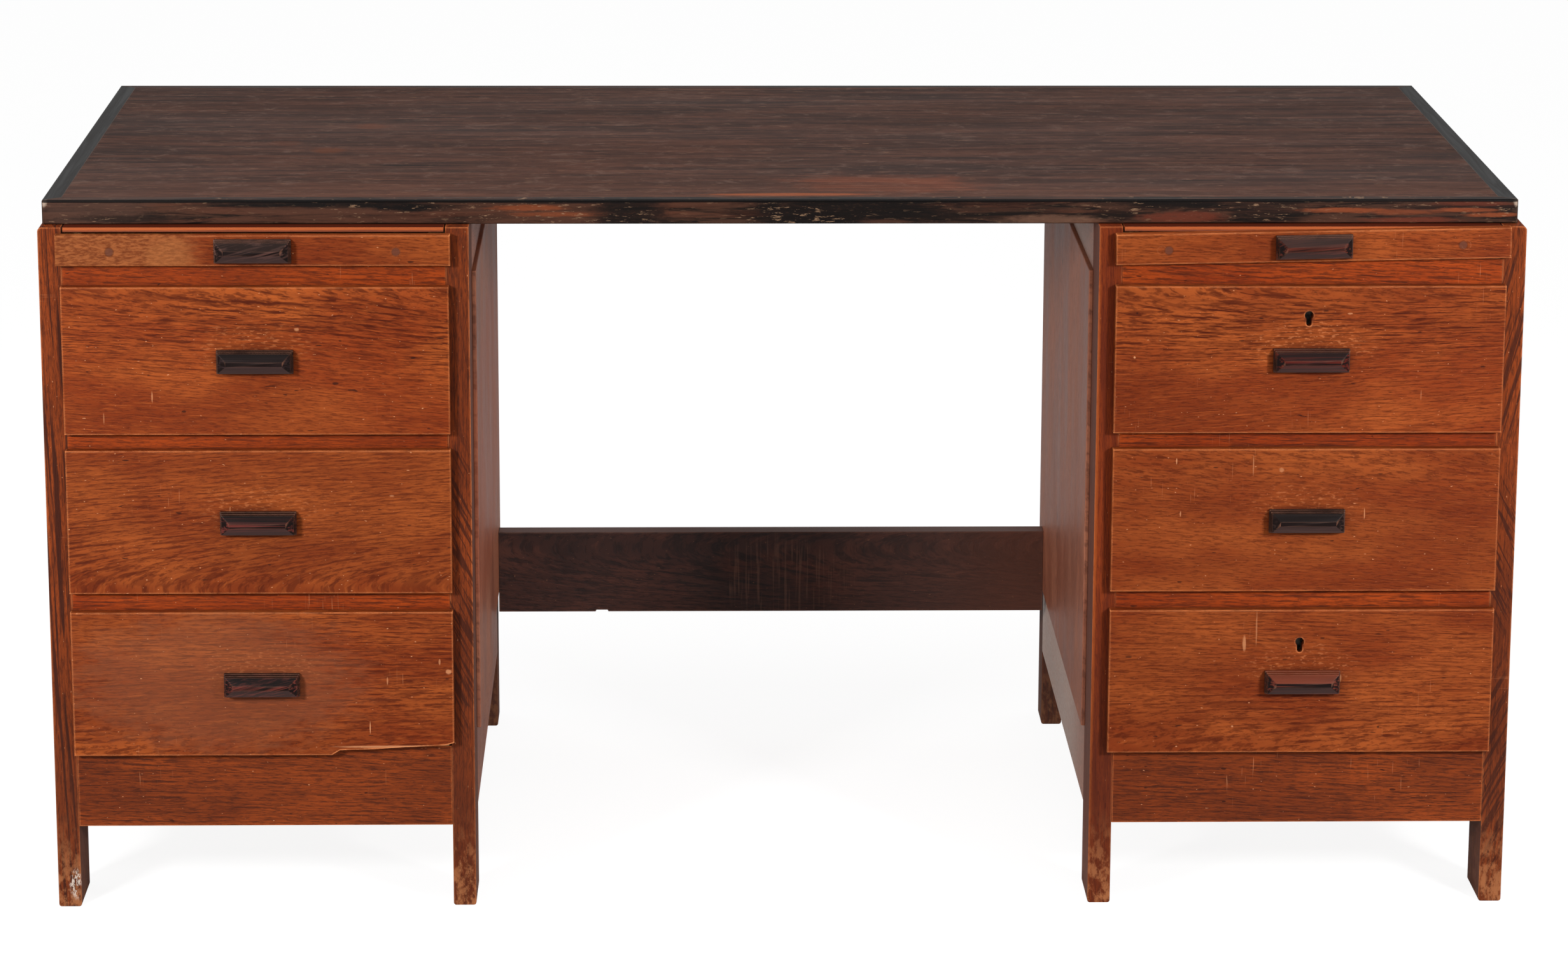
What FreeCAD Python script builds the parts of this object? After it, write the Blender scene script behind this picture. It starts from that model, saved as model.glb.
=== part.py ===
import FreeCAD, Part
import math
import os

# A double pedestal writing desk. All lengths are in millimetres.
# X runs across the desk to its right, the front faces -Y, and Z is the height above the floor.
# Depths are counted backwards from the front faces of the legs.

# Driving sizes of the whole desk
desk_width = 1600.0
pedestal_width = 461.0
carcass_depth = 750.0

# Heights up the front, each one standing on the one before it
foot_height = 93.0
apron_face = 84.0
bottom_front_height = 162.5
lower_reveal = 21.0
middle_front_height = 160.0
upper_reveal = 17.5
top_front_height = 162.5
slide_reveal = 23.0
lath_height = 33.5
lath_top_gap = 1.3
strip_height = 5.2

# The desk top
top_thickness = 26.5
top_setback = 18.0
top_back_overhang = 50.0
top_left_inset = 3.0
top_right_inset = 7.0
end_lipping_width = 20.0
long_lipping_width = 17.0
veneer_thickness = 1.5
top_arris = 2.0
top_corner_radius = 3.5

# Legs
leg_thickness = 25.0
front_leg_depth = 76.0
back_leg_depth = 52.0
foot_radius = 3.0
worn_corner_radius = 4.5

# Rails and their tenons
front_rail_depth = 25.0
back_rail_thickness = 22.0
upper_side_rail_height = 61.5
side_rail_foot_height = 95.0
tenon_length = 15.0
tenon_thickness = 8.0
tenon_shoulder = 5.0
side_tenon_length = 30.0
strip_end_gap = 1.8
open_joint_width = 2.5
open_joint_height = 26.5

# Side walls and panels
side_wall_thickness = 16.0
panel_proud = 4.6
panel_front_lap = 6.0
panel_back_lap = 16.0
panel_arris = 1.2
back_panel_thickness = 8.0
back_panel_groove = 6.0

# Runners inside the pedestals
runner_bearing = 19.0
lowest_runner_height = 20.0
guide_height = 14.0

# Drawers
front_thickness = 12.0
front_lap = 7.0
front_arris = 1.2
left_front_side_lap = 2.5
right_front_side_lap = 5.5
left_front_shift = 1.0
right_front_shift = -1.8
drawer_side_clearance = 3.0
drawer_top_clearance = 3.0
drawer_back_gap = 8.0
drawer_wall = 12.0
drawer_back_drop = 10.0
drawer_bottom_thickness = 6.0
drawer_bottom_rise = 8.0
drawer_groove_depth = 6.0

# Dovetails at the corners of the drawer boxes
front_tail_count = 4
back_tail_count = 3
tail_width_share = 0.68
tail_slope_share = 0.17

# The broken lower edge of the left bottom drawer, as shares of its length and height
chip_length = 135.0
chip_height = 14.0
chip_outline_shares = ((0.0, 0.0), (0.07, 0.42), (0.34, 0.5), (0.6, 0.66), (0.93, 0.8), (1.0, 1.0))

# Writing slides
slide_thickness = 22.0
slide_back_gap = 98.0
lath_lap = 4.5
lath_overhang_left = 5.5
lath_overhang_right = 7.5
lath_tilt_degrees = 1.0
plug_diameter = 9.5
plug_depth = 8.0
plug_rise = 15.5
left_lath_plug_inset = 58.0
right_lath_plug_inset = 49.0

# Handles: three layers, each set in a little, under a hipped crown
handle_width = 82.5
handle_height = 26.0
handle_step = 1.0
base_layer_rise = 4.0
middle_layer_rise = 5.0
upper_layer_rise = 4.0
crown_rise = 5.0
crown_end_run = 9.0
crown_ridge_height = 5.0

# Locks of the right top and bottom drawers
lock_shift = -3.7
top_keyhole_drop = 32.1
bottom_keyhole_drop = 36.2
keyhole_radius = 4.6
keyhole_slot_width = 5.6
keyhole_slot_length = 9.0
key_passage_clearance = 1.5
lock_plate_width = 60.0
lock_plate_height = 46.0
lock_plate_thickness = 2.0
lock_works_width = 44.0
lock_works_height = 40.0
lock_works_depth = 6.0
bolt_width = 20.0
bolt_thickness = 3.5
bolt_height = 16.0
bolt_talon_radius = 3.0
bolt_clearance = 0.4
bolt_travel = 8.0
bolt_mortise_clearance = 1.0

# The stretcher between the pedestals
stretcher_thickness = 26.0
stretcher_height = 100.5
stretcher_foot_height = 160.0
stretcher_leg_gap = 21.0
stretcher_notch_place = 119.4
stretcher_notch_width = 14.0
stretcher_notch_depth = 2.0

# Fits and working allowances
running_gap = 0.3
joint_gap = 0.1
plug_gap = 0.05
overrun = 5.0
same_place = 0.001

# Sizes that follow from the ones above
bottom_front_z = foot_height + apron_face
middle_front_z = bottom_front_z + bottom_front_height + lower_reveal
top_front_z = middle_front_z + middle_front_height + upper_reveal
lath_z = top_front_z + top_front_height + slide_reveal
strip_z = lath_z + lath_height + lath_top_gap
leg_height = strip_z + strip_height
top_surface = leg_height + top_thickness

# Each drawer's front, from its lower edge to its upper edge, numbered from the top
front_spans = {
    1: (top_front_z, top_front_z + top_front_height),
    2: (middle_front_z, middle_front_z + middle_front_height),
    3: (bottom_front_z, bottom_front_z + bottom_front_height),
}
# Each drawer's opening in the frame, which the front laps over
opening_spans = {number: (low + front_lap, high - front_lap) for number, (low, high) in front_spans.items()}

slide_floor = lath_z + lath_lap
rail_spans = {
    1: (opening_spans[1][1], slide_floor),
    2: (opening_spans[2][1], opening_spans[1][0]),
    3: (opening_spans[3][1], opening_spans[2][0]),
}
apron_span = (foot_height, opening_spans[3][0])
upper_rail_span = (leg_height - upper_side_rail_height, leg_height)
lower_rail_span = (side_rail_foot_height, opening_spans[3][0])
panel_span = (lower_rail_span[1], upper_rail_span[0])

front_proud = front_thickness + running_gap
handle_depth = base_layer_rise + middle_layer_rise + upper_layer_rise + crown_rise
front_y = (front_proud + handle_depth - carcass_depth - top_back_overhang) / 2
back_leg_front = carcass_depth - back_leg_depth
opening_half = pedestal_width / 2 - leg_thickness
box_half = opening_half - drawer_side_clearance
box_front = -running_gap
box_back = back_leg_front - drawer_back_gap
slide_back = back_leg_front - slide_back_gap
slide_top = slide_floor + running_gap + slide_thickness

sides = {"left": -1, "right": 1}
front_side_laps = {"left": left_front_side_lap, "right": right_front_side_lap}
front_shifts = {"left": left_front_shift, "right": right_front_shift}
lath_overhangs = {"left": lath_overhang_left, "right": lath_overhang_right}
plug_insets = {"left": left_lath_plug_inset, "right": right_lath_plug_inset}
keyhole_drops = {1: top_keyhole_drop, 3: bottom_keyhole_drop}


# Building blocks

def board(x, d, z):
    """A square-edged board between two places across the desk, two depths and two heights."""
    corner = FreeCAD.Vector(min(x), front_y + min(d), min(z))
    return Part.makeBox(abs(x[1] - x[0]), abs(d[1] - d[0]), abs(z[1] - z[0]), corner)


def plan_prism(points, z):
    """A prism that stands on an outline drawn in plan, as places across and depths."""
    corners = [FreeCAD.Vector(x, front_y + d, z[0]) for x, d in points]
    face = Part.Face(Part.makePolygon(corners + corners[:1]))
    return face.extrude(FreeCAD.Vector(0, 0, z[1] - z[0]))


def side_prism(points, x):
    """A prism across the desk from an outline drawn from the side, as depths and heights."""
    corners = [FreeCAD.Vector(min(x), front_y + d, z) for d, z in points]
    face = Part.Face(Part.makePolygon(corners + corners[:1]))
    return face.extrude(FreeCAD.Vector(abs(x[1] - x[0]), 0, 0))


def front_prism(points, d):
    """A prism running back from an outline drawn from the front, as places across and heights."""
    corners = [FreeCAD.Vector(x, front_y + d[0], z) for x, z in points]
    face = Part.Face(Part.makePolygon(corners + corners[:1]))
    return face.extrude(FreeCAD.Vector(0, d[1] - d[0], 0))


def pocket(piece, gap):
    """The space that a square piece needs in its neighbour, with a gap all round."""
    box = piece.BoundBox
    corner = FreeCAD.Vector(box.XMin - gap, box.YMin - gap, box.ZMin - gap)
    return Part.makeBox(box.XLength + 2 * gap, box.YLength + 2 * gap, box.ZLength + 2 * gap, corner)


def soften(shape, radius, chosen):
    """Rounds the edges whose own limits the chosen test accepts."""
    edges = [edge for edge in shape.Edges if chosen(edge.BoundBox)]
    return shape.makeFillet(radius, edges)


def at(value, low, high):
    """Whether both limits lie at one place."""
    return abs(low - value) < same_place and abs(high - value) < same_place


def runs_across(box):
    """Whether an edge runs straight across the desk."""
    return box.YLength < same_place and box.ZLength < same_place


def runs_back(box):
    """Whether an edge runs straight back."""
    return box.XLength < same_place and box.ZLength < same_place


def is_upright(box):
    """Whether an edge stands upright."""
    return box.XLength < same_place and box.YLength < same_place


def centre_of(side):
    """The middle of a pedestal, across the desk."""
    return side * (desk_width - pedestal_width) / 2


def walls_of(side):
    """For a pedestal's outer and inner wall: the legs' outside face, and the way that it faces."""
    outer = side * desk_width / 2
    return {"outer": (outer, side), "inner": (outer - side * pedestal_width, -side)}


# Frame of a pedestal

def cross_tenons(d, z):
    """For one rail of a pedestal: its tenons into the legs, about the pedestal's middle."""
    middle = (d[0] + d[1]) / 2
    thick = (middle - tenon_thickness / 2, middle + tenon_thickness / 2)
    tall = (z[0] + tenon_shoulder, z[1] - tenon_shoulder)
    ends = [(way * opening_half, way * (opening_half + tenon_length)) for way in (-1, 1)]
    return [board(end, thick, tall) for end in ends]


def cross_rail(side, d, z):
    """A rail from leg to leg, with a tenon at each end. Returns the rail and its tenons."""
    centre = centre_of(side)
    tenons = cross_tenons(d, z)
    for tenon in tenons:
        tenon.translate(FreeCAD.Vector(centre, 0, 0))
    rail = board((centre - opening_half, centre + opening_half), d, z)
    return rail.fuse(tenons).removeSplitter(), tenons


def front_cross_rails(side):
    """The three rails between slide and drawers, and the apron under them."""
    depth = (0, front_rail_depth)
    rails = [cross_rail(side, depth, rail_spans[number]) for number in (1, 2, 3)]
    return rails, cross_rail(side, depth, apron_span)


def back_cross_rails(side):
    """The upper and lower rails between the back legs."""
    depth = (carcass_depth - back_rail_thickness, carcass_depth)
    return [cross_rail(side, depth, span) for span in (upper_rail_span, lower_rail_span)]


def side_rail(side, wall, z):
    """A rail from front leg to back leg in a side wall. Returns the rail and its tenons."""
    face, way = walls_of(side)[wall]
    across = (face, face - way * side_wall_thickness)
    middle = (across[0] + across[1]) / 2
    thick = (middle - tenon_thickness / 2, middle + tenon_thickness / 2)
    tall = (z[0] + tenon_shoulder, z[1] - tenon_shoulder)
    front = (front_leg_depth - side_tenon_length, front_leg_depth)
    back = (back_leg_front, back_leg_front + side_tenon_length)
    tenons = [board(thick, front, tall), board(thick, back, tall)]
    rail = board(across, (front_leg_depth, back_leg_front), z)
    return rail, tenons


def side_rails(side):
    """The four side rails of a pedestal, with the tenons that their legs take."""
    rails = []
    all_tenons = []
    for wall in ("outer", "inner"):
        for span in (upper_rail_span, lower_rail_span):
            rail, tenons = side_rail(side, wall, span)
            if wall == "inner" and span == upper_rail_span:
                rail = rail.cut(open_joint(side))
            rails.append(rail.fuse(tenons).removeSplitter())
            all_tenons += tenons
    return rails, all_tenons


def open_joint(side):
    """The upper shoulder of an inner side rail has drawn back from the front leg and left a slot."""
    face, way = walls_of(side)["inner"]
    across = (face + way * overrun, face - way * (side_wall_thickness - tenon_thickness) / 2)
    depth = (front_leg_depth, front_leg_depth + open_joint_width)
    return board(across, depth, (leg_height - open_joint_height, leg_height + overrun))


def leg(side, wall, depth, taken):
    """A leg with a worn foot, a worn outer top corner and the mortises for what it takes."""
    face, way = walls_of(side)[wall]
    post = board((face, face - way * leg_thickness), depth, (0, leg_height))
    post = soften(post, foot_radius, lambda box: runs_back(box) and at(0, box.ZMin, box.ZMax))
    if wall == "outer":
        post = soften(post, worn_corner_radius, lambda box: is_top_corner(box, face))
    return post.cut([pocket(piece, joint_gap) for piece in taken])


def is_top_corner(box, face):
    """Whether an edge is the upper one on a leg's outside face."""
    return runs_back(box) and at(leg_height, box.ZMin, box.ZMax) and at(face, box.XMin, box.XMax)


def back_panel(side):
    """The thin panel that sits in grooves of the back legs and rails."""
    centre = centre_of(side)
    reach = back_panel_groove - joint_gap
    middle = carcass_depth - back_rail_thickness / 2
    across = (centre - opening_half - reach, centre + opening_half + reach)
    depth = (middle - back_panel_thickness / 2, middle + back_panel_thickness / 2)
    return board(across, depth, (panel_span[0] - reach, panel_span[1] + reach))


def side_panel(side, wall):
    """A thick side panel whose face stands proud of the legs and laps over them."""
    face, way = walls_of(side)[wall]
    proud = face + way * panel_proud
    inside = face - way * side_wall_thickness
    lap_front = front_leg_depth - panel_front_lap
    lap_back = back_leg_front + panel_back_lap
    outline = [
        (proud, lap_front),
        (proud, lap_back),
        (face, lap_back),
        (face, back_leg_front),
        (inside, back_leg_front),
        (inside, front_leg_depth),
        (face, front_leg_depth),
        (face, lap_front),
    ]
    panel = plan_prism(outline, panel_span)
    return soften(panel, panel_arris, lambda box: at(proud, box.XMin, box.XMax))


def top_strip(side):
    """The thin strip over the slide, short of the legs at both ends."""
    centre = centre_of(side)
    reach = opening_half - strip_end_gap
    return board((centre - reach, centre + reach), (0, front_rail_depth), (strip_z, leg_height))


# Runners, guides and kickers

def runner_outline(side, wall):
    """A runner in plan: narrow beside the front leg, and out to the side wall behind it."""
    face, way = walls_of(side)[wall]
    leg_face = face - way * leg_thickness
    wall_face = face - way * side_wall_thickness
    edge = leg_face - way * runner_bearing
    return [
        (edge, front_rail_depth),
        (leg_face, front_rail_depth),
        (leg_face, front_leg_depth),
        (wall_face, front_leg_depth),
        (wall_face, back_leg_front),
        (edge, back_leg_front),
    ]


def guide(side, wall, z):
    """A strip on a runner that keeps a drawer or slide in line with the legs."""
    face, way = walls_of(side)[wall]
    across = (face - way * side_wall_thickness, face - way * leg_thickness)
    return board(across, (front_leg_depth, back_leg_front), z)


def runners(side):
    """All runners of a pedestal, their guides, and the kickers over the slide."""
    lowest = (opening_spans[3][0] - lowest_runner_height, opening_spans[3][0])
    kicker = (slide_top + running_gap, leg_height)
    solids = []
    for wall in ("outer", "inner"):
        outline = runner_outline(side, wall)
        for span in (rail_spans[1], rail_spans[2], rail_spans[3], lowest, kicker):
            solids.append(plan_prism(outline, span))
        for number in (1, 2, 3):
            floor = opening_spans[number][0]
            solids.append(guide(side, wall, (floor, floor + guide_height)))
        solids.append(guide(side, wall, (slide_floor, kicker[0])))
    return solids


# Drawers

def box_span(number):
    """The lowest and highest part of a drawer's box."""
    low, high = opening_spans[number]
    return low + running_gap, high - drawer_top_clearance


def back_wall_span(number):
    """The drawer's back wall stands on the bottom and stays below the sides."""
    low, high = box_span(number)
    return low + drawer_bottom_rise + drawer_bottom_thickness, high - drawer_back_drop


def tail_points(shoulder, end, z, count):
    """The outline of a row of dovetail tails from a shoulder line out to the board's end."""
    pitch = (z[1] - z[0]) / count
    wide = pitch * tail_width_share / 2
    narrow = wide - abs(end - shoulder) * tail_slope_share
    points = []
    for index in range(count):
        middle = z[0] + pitch * (index + 1 / 2)
        points += [
            (shoulder, middle - narrow),
            (end, middle - wide),
            (end, middle + wide),
            (shoulder, middle + narrow),
        ]
    return points


def drawer_side(number, across):
    """A drawer side with dovetails at both ends and a groove for the bottom."""
    low, high = box_span(number)
    front_shoulder = box_front + drawer_wall
    back_shoulder = box_back - drawer_wall
    front_tails = tail_points(front_shoulder, box_front, (low, high), front_tail_count)
    back_tails = tail_points(back_shoulder, box_back, back_wall_span(number), back_tail_count)
    below_bottom = low + drawer_bottom_rise
    outline = [(front_shoulder, low)] + front_tails + [(front_shoulder, high), (back_shoulder, high)]
    outline += back_tails[::-1] + [(back_shoulder, below_bottom), (box_back, below_bottom), (box_back, low)]
    return side_prism(outline, across)


def drawer_bottom(side, number):
    """The thin bottom, held in grooves and slid in under the back wall."""
    centre = centre_of(side)
    reach = box_half - drawer_wall + drawer_groove_depth - joint_gap
    floor = box_span(number)[0] + drawer_bottom_rise
    front = box_front + drawer_wall - drawer_groove_depth + joint_gap
    height = (floor, floor + drawer_bottom_thickness)
    return board((centre - reach, centre + reach), (front, box_back), height)


def drawer_box(side, number):
    """The four walls of a drawer: dovetailed sides, and the front and back walls between them."""
    centre = centre_of(side)
    low, high = box_span(number)
    bottom = drawer_bottom(side, number)
    flanks = []
    for way in (-1, 1):
        outer = centre + way * box_half
        flanks.append(drawer_side(number, (outer, outer - way * drawer_wall)))
    width = (centre - box_half, centre + box_half)
    front_wall = board(width, (box_front, box_front + drawer_wall), (low, high)).cut(flanks)
    back_wall = board(width, (box_back - drawer_wall, box_back), back_wall_span(number)).cut(flanks)
    walls = [flank.cut(bottom) for flank in flanks] + [front_wall.cut(bottom), back_wall]
    if side > 0 and number in keyhole_drops:
        walls[2] = walls[2].cut([lock_body(number), key_passage(number)])
    return walls


def drawer_front(name, side, number):
    """The show front, which laps over the frame on all four sides."""
    low, high = front_spans[number]
    middle = centre_of(side) + front_shifts[name]
    reach = opening_half + front_side_laps[name]
    depth = (-front_proud, -running_gap)
    plate = board((middle - reach, middle + reach), depth, (low, high))
    plate = soften(plate, front_arris, lambda box: at(front_y - front_proud, box.YMin, box.YMax))
    if side > 0 and number in keyhole_drops:
        plate = plate.cut(keyhole(number))
    if side < 0 and number == 3:
        plate = plate.cut(broken_edge(middle + reach, low, depth))
    return plate


def broken_edge(corner, low, depth):
    """The splinter that has come away from the lower edge, up to its right corner."""
    start = corner - chip_length
    below = low - overrun
    beyond = corner + overrun
    edge = [(start + chip_length * along, low + chip_height * up) for along, up in chip_outline_shares]
    outline = edge + [(beyond, edge[-1][1]), (beyond, below), (start, below)]
    return front_prism(outline, (depth[0] - overrun, depth[1] + overrun))


# Handles

def handle(centre, height):
    """A block of three layers, each set in a little, with a hipped crown on top of them."""
    solids = []
    plane = -front_proud
    inset = 0
    for rise in (base_layer_rise, middle_layer_rise, upper_layer_rise):
        across = (centre - handle_width / 2 + inset, centre + handle_width / 2 - inset)
        upright = (height - handle_height / 2 + inset, height + handle_height / 2 - inset)
        solids.append(board(across, (plane - rise, plane), upright))
        plane -= rise
        inset += handle_step
    solids.append(crown(across, upright, plane))
    return solids[0].fuse(solids[1:]).removeSplitter()


def crown(across, upright, plane):
    """The hipped crown that stands on the last layer: four slopes up to a narrow flat ridge."""
    ridge_plane = plane - crown_rise
    middle = (upright[0] + upright[1]) / 2
    end_slopes = [
        (across[0], plane),
        (across[1], plane),
        (across[1] - crown_end_run, ridge_plane),
        (across[0] + crown_end_run, ridge_plane),
    ]
    long_slopes = [
        (plane, upright[0]),
        (plane, upright[1]),
        (ridge_plane, middle + crown_ridge_height / 2),
        (ridge_plane, middle - crown_ridge_height / 2),
    ]
    return plan_prism(end_slopes, upright).common(side_prism(long_slopes, across))


# Writing slides

def lath_limits(name, side):
    """The left and right ends of a slide's lath, before it is tilted."""
    reach = opening_half + lath_overhangs[name]
    return centre_of(side) - reach, centre_of(side) + reach


def set_askew(shape, side):
    """The right lath has been refitted askew and turns up about its left lower corner."""
    if side > 0:
        pivot = FreeCAD.Vector(lath_limits("right", side)[0], front_y, lath_z)
        shape.rotate(pivot, FreeCAD.Vector(0, -1, 0), lath_tilt_degrees)
    return shape


def slide_lath(name, side):
    """The lath across the slide's front edge, with the two plugs that hide its screws."""
    left, right = lath_limits(name, side)
    lath = board((left, right), (-front_proud, -running_gap), (lath_z, lath_z + lath_height))
    lath = soften(lath, front_arris, lambda box: at(front_y - front_proud, box.YMin, box.YMax))
    plugs = []
    for x in (left + plug_insets[name], right - plug_insets[name]):
        start = FreeCAD.Vector(x, front_y - front_proud, lath_z + plug_rise)
        hole = Part.makeCylinder(plug_diameter / 2 + plug_gap, plug_depth, start, FreeCAD.Vector(0, 1, 0))
        lath = lath.cut(hole)
        plugs.append(Part.makeCylinder(plug_diameter / 2, plug_depth, start, FreeCAD.Vector(0, 1, 0)))
    return [set_askew(solid, side) for solid in [lath] + plugs]


def slide_board(side):
    """The pull-out writing surface on its runners."""
    centre = centre_of(side)
    floor = slide_floor + running_gap
    return board((centre - box_half, centre + box_half), (box_front, slide_back), (floor, slide_top))


def slide_handle(name, side):
    """The handle in the middle of a lath, turned with it."""
    left, right = lath_limits(name, side)
    return set_askew(handle((left + right) / 2, lath_z + lath_height / 2), side)


# Locks

def lock_x():
    """Where the locks stand across the right pedestal."""
    return centre_of(sides["right"]) + lock_shift


def keyhole(number):
    """A round hole with a slot under it, from the show front through into the lock."""
    eye = front_spans[number][1] - keyhole_drops[number]
    half_slot = keyhole_slot_width / 2
    shoulder = eye - math.sqrt(keyhole_radius ** 2 - half_slot ** 2)
    foot = eye - keyhole_slot_length
    y = front_y - front_proud - overrun

    def point(x, z):
        return FreeCAD.Vector(lock_x() + x, y, z)

    crest = point(0, eye + keyhole_radius)
    round_eye = Part.Arc(point(half_slot, shoulder), crest, point(-half_slot, shoulder))
    left = Part.LineSegment(point(-half_slot, shoulder), point(-half_slot, foot))
    base = Part.Arc(point(-half_slot, foot), point(0, foot - half_slot), point(half_slot, foot))
    right = Part.LineSegment(point(half_slot, foot), point(half_slot, shoulder))
    wire = Part.Wire([curve.toShape() for curve in (round_eye, left, base, right)])
    reach = overrun + front_proud + box_front + drawer_wall - lock_plate_thickness
    return Part.Face(wire).extrude(FreeCAD.Vector(0, reach, 0))


def key_passage(number):
    """The square way for the key through the box's front wall, a little wider than the keyhole."""
    eye = front_spans[number][1] - keyhole_drops[number]
    half = keyhole_radius + key_passage_clearance
    foot = eye - keyhole_slot_length - keyhole_slot_width / 2 - key_passage_clearance
    across = (lock_x() - half, lock_x() + half)
    return board(across, (box_front - overrun, box_front + drawer_wall), (foot, eye + half))


def lock_body(number):
    """A lock's outer form: a back plate, a top plate let into the wall's edge, and the works between."""
    middle = lock_x()
    top = box_span(number)[1]
    inside = box_front + drawer_wall
    half_plate = lock_plate_width / 2
    half_works = lock_works_width / 2
    plate_face = inside - lock_plate_thickness
    span = (middle - half_plate, middle + half_plate)
    back_plate = board(span, (plate_face, inside), (top - lock_plate_height, top))
    top_plate = board(span, (plate_face - lock_works_depth, inside), (top - lock_plate_thickness, top))
    works = board(
        (middle - half_works, middle + half_works),
        (plate_face - lock_works_depth, plate_face),
        (top - lock_works_height, top),
    )
    return back_plate.fuse([top_plate, works]).removeSplitter()


def bolt_limits(number):
    """A lock bolt's two places across, two depths and two heights, drawn back into the lock."""
    top = box_span(number)[1]
    middle = box_front + drawer_wall - lock_plate_thickness - lock_works_depth / 2
    across = (lock_x() - bolt_width / 2, lock_x() + bolt_width / 2)
    return across, (middle - bolt_thickness / 2, middle + bolt_thickness / 2), (top - bolt_height, top)


def lock_case(number):
    """The lock's case with the channel that its bolt slides in and the way in for the key."""
    across, depth, height = bolt_limits(number)
    slack = (across[0] - bolt_clearance, across[1] + bolt_clearance)
    room = (depth[0] - bolt_clearance, depth[1] + bolt_clearance)
    channel = board(slack, room, (height[0] - bolt_clearance, height[1] + overrun))
    return lock_body(number).cut([channel, keyhole(number)])


def lock_bolt(number):
    """A sliding bolt with a round talon in its lower edge, where the key's bit lifts it."""
    across, depth, height = bolt_limits(number)
    bolt = board(across, depth, height)
    start = FreeCAD.Vector(lock_x(), front_y + depth[0] - overrun, height[0])
    length = depth[1] - depth[0] + 2 * overrun
    return bolt.cut(Part.makeCylinder(bolt_talon_radius, length, start, FreeCAD.Vector(0, 1, 0)))


def bolt_mortise(number):
    """The hole in the rail above that takes the bolt when the drawer is locked."""
    across, depth, _ = bolt_limits(number)
    wide = (across[0] - bolt_mortise_clearance, across[1] + bolt_mortise_clearance)
    deep = (depth[0] - bolt_mortise_clearance, depth[1] + bolt_mortise_clearance)
    mouth = opening_spans[number][1]
    end = mouth - drawer_top_clearance + bolt_travel + bolt_mortise_clearance
    return board(wide, deep, (mouth - overrun, end))


# The desk top

def top_pieces():
    """The top's core, field veneer and mitred lippings, all cut from one rounded slab."""
    left = -desk_width / 2 + top_left_inset
    right = desk_width / 2 - top_right_inset
    front = top_setback
    back = carcass_depth + top_back_overhang
    blank = board((left, right), (front, back), (leg_height, top_surface))
    slab = soften(blank, top_corner_radius, is_upright)
    for direction in (runs_across, runs_back):
        slab = slab.common(soften(blank, top_arris, direction))
    inner_left = left + end_lipping_width
    inner_right = right - end_lipping_width
    inner_front = front + long_lipping_width
    inner_back = back - long_lipping_width
    height = (leg_height, top_surface)
    bed = top_surface - veneer_thickness
    field = ((inner_left, inner_right), (inner_front, inner_back))
    outlines = {
        "front": [(left, front), (right, front), (inner_right, inner_front), (inner_left, inner_front)],
        "back": [(left, back), (inner_left, inner_back), (inner_right, inner_back), (right, back)],
        "left": [(left, front), (inner_left, inner_front), (inner_left, inner_back), (left, back)],
        "right": [(right, front), (right, back), (inner_right, inner_back), (inner_right, inner_front)],
    }
    lippings = {name: slab.common(plan_prism(outline, height)) for name, outline in outlines.items()}
    return {
        "top_core": [board(*field, (leg_height, bed))],
        "top_veneer": [board(*field, (bed, top_surface))],
        "top_front_lipping": [lippings["front"]],
        "top_back_lipping": [lippings["back"]],
        "top_end_lippings": [lippings["left"], lippings["right"]],
    }


def stretcher():
    """The board that ties the two pedestals, with a small notch worn in its lower edge."""
    half = desk_width / 2 - pedestal_width - panel_proud
    back = back_leg_front - stretcher_leg_gap
    depth = (back - stretcher_thickness, back)
    plank = board((-half, half), depth, (stretcher_foot_height, stretcher_foot_height + stretcher_height))
    start = -half + stretcher_notch_place
    notch_top = stretcher_foot_height + stretcher_notch_depth
    outline = [
        (start - stretcher_notch_depth, stretcher_foot_height - overrun),
        (start, notch_top),
        (start + stretcher_notch_width, notch_top),
        (start + stretcher_notch_width + stretcher_notch_depth, stretcher_foot_height - overrun),
    ]
    return plank.cut(front_prism(outline, (depth[0] - overrun, depth[1] + overrun)))


# Assembly

def pedestal_pieces(name, side):
    """Every fixed piece of one pedestal."""
    front_rails, apron = front_cross_rails(side)
    back_rails = back_cross_rails(side)
    rails, side_tenon_list = side_rails(side)
    panel = back_panel(side)
    front_taken = [tenon for _, tenons in front_rails + [apron] for tenon in tenons] + side_tenon_list
    back_taken = [tenon for _, tenons in back_rails for tenon in tenons] + side_tenon_list + [panel]
    rail_solids = [rail for rail, _ in front_rails]
    if side > 0:
        rail_solids[0] = rail_solids[0].cut(bolt_mortise(1))
        rail_solids[2] = rail_solids[2].cut(bolt_mortise(3))
    groove = pocket(panel, joint_gap)
    front_depth = (0, front_leg_depth)
    back_depth = (back_leg_front, carcass_depth)
    return {
        f"{name}_front_legs": [leg(side, wall, front_depth, front_taken) for wall in walls_of(side)],
        f"{name}_back_legs": [leg(side, wall, back_depth, back_taken) for wall in walls_of(side)],
        f"{name}_side_rails": rails,
        f"{name}_outer_side_panel": [side_panel(side, "outer")],
        f"{name}_inner_side_panel": [side_panel(side, "inner")],
        f"{name}_front_rails": rail_solids + [top_strip(side)],
        f"{name}_apron": [apron[0]],
        f"{name}_back_rails": [rail.cut(groove) for rail, _ in back_rails],
        f"{name}_back_panel": [panel],
        f"{name}_runners": runners(side),
    }


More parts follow.
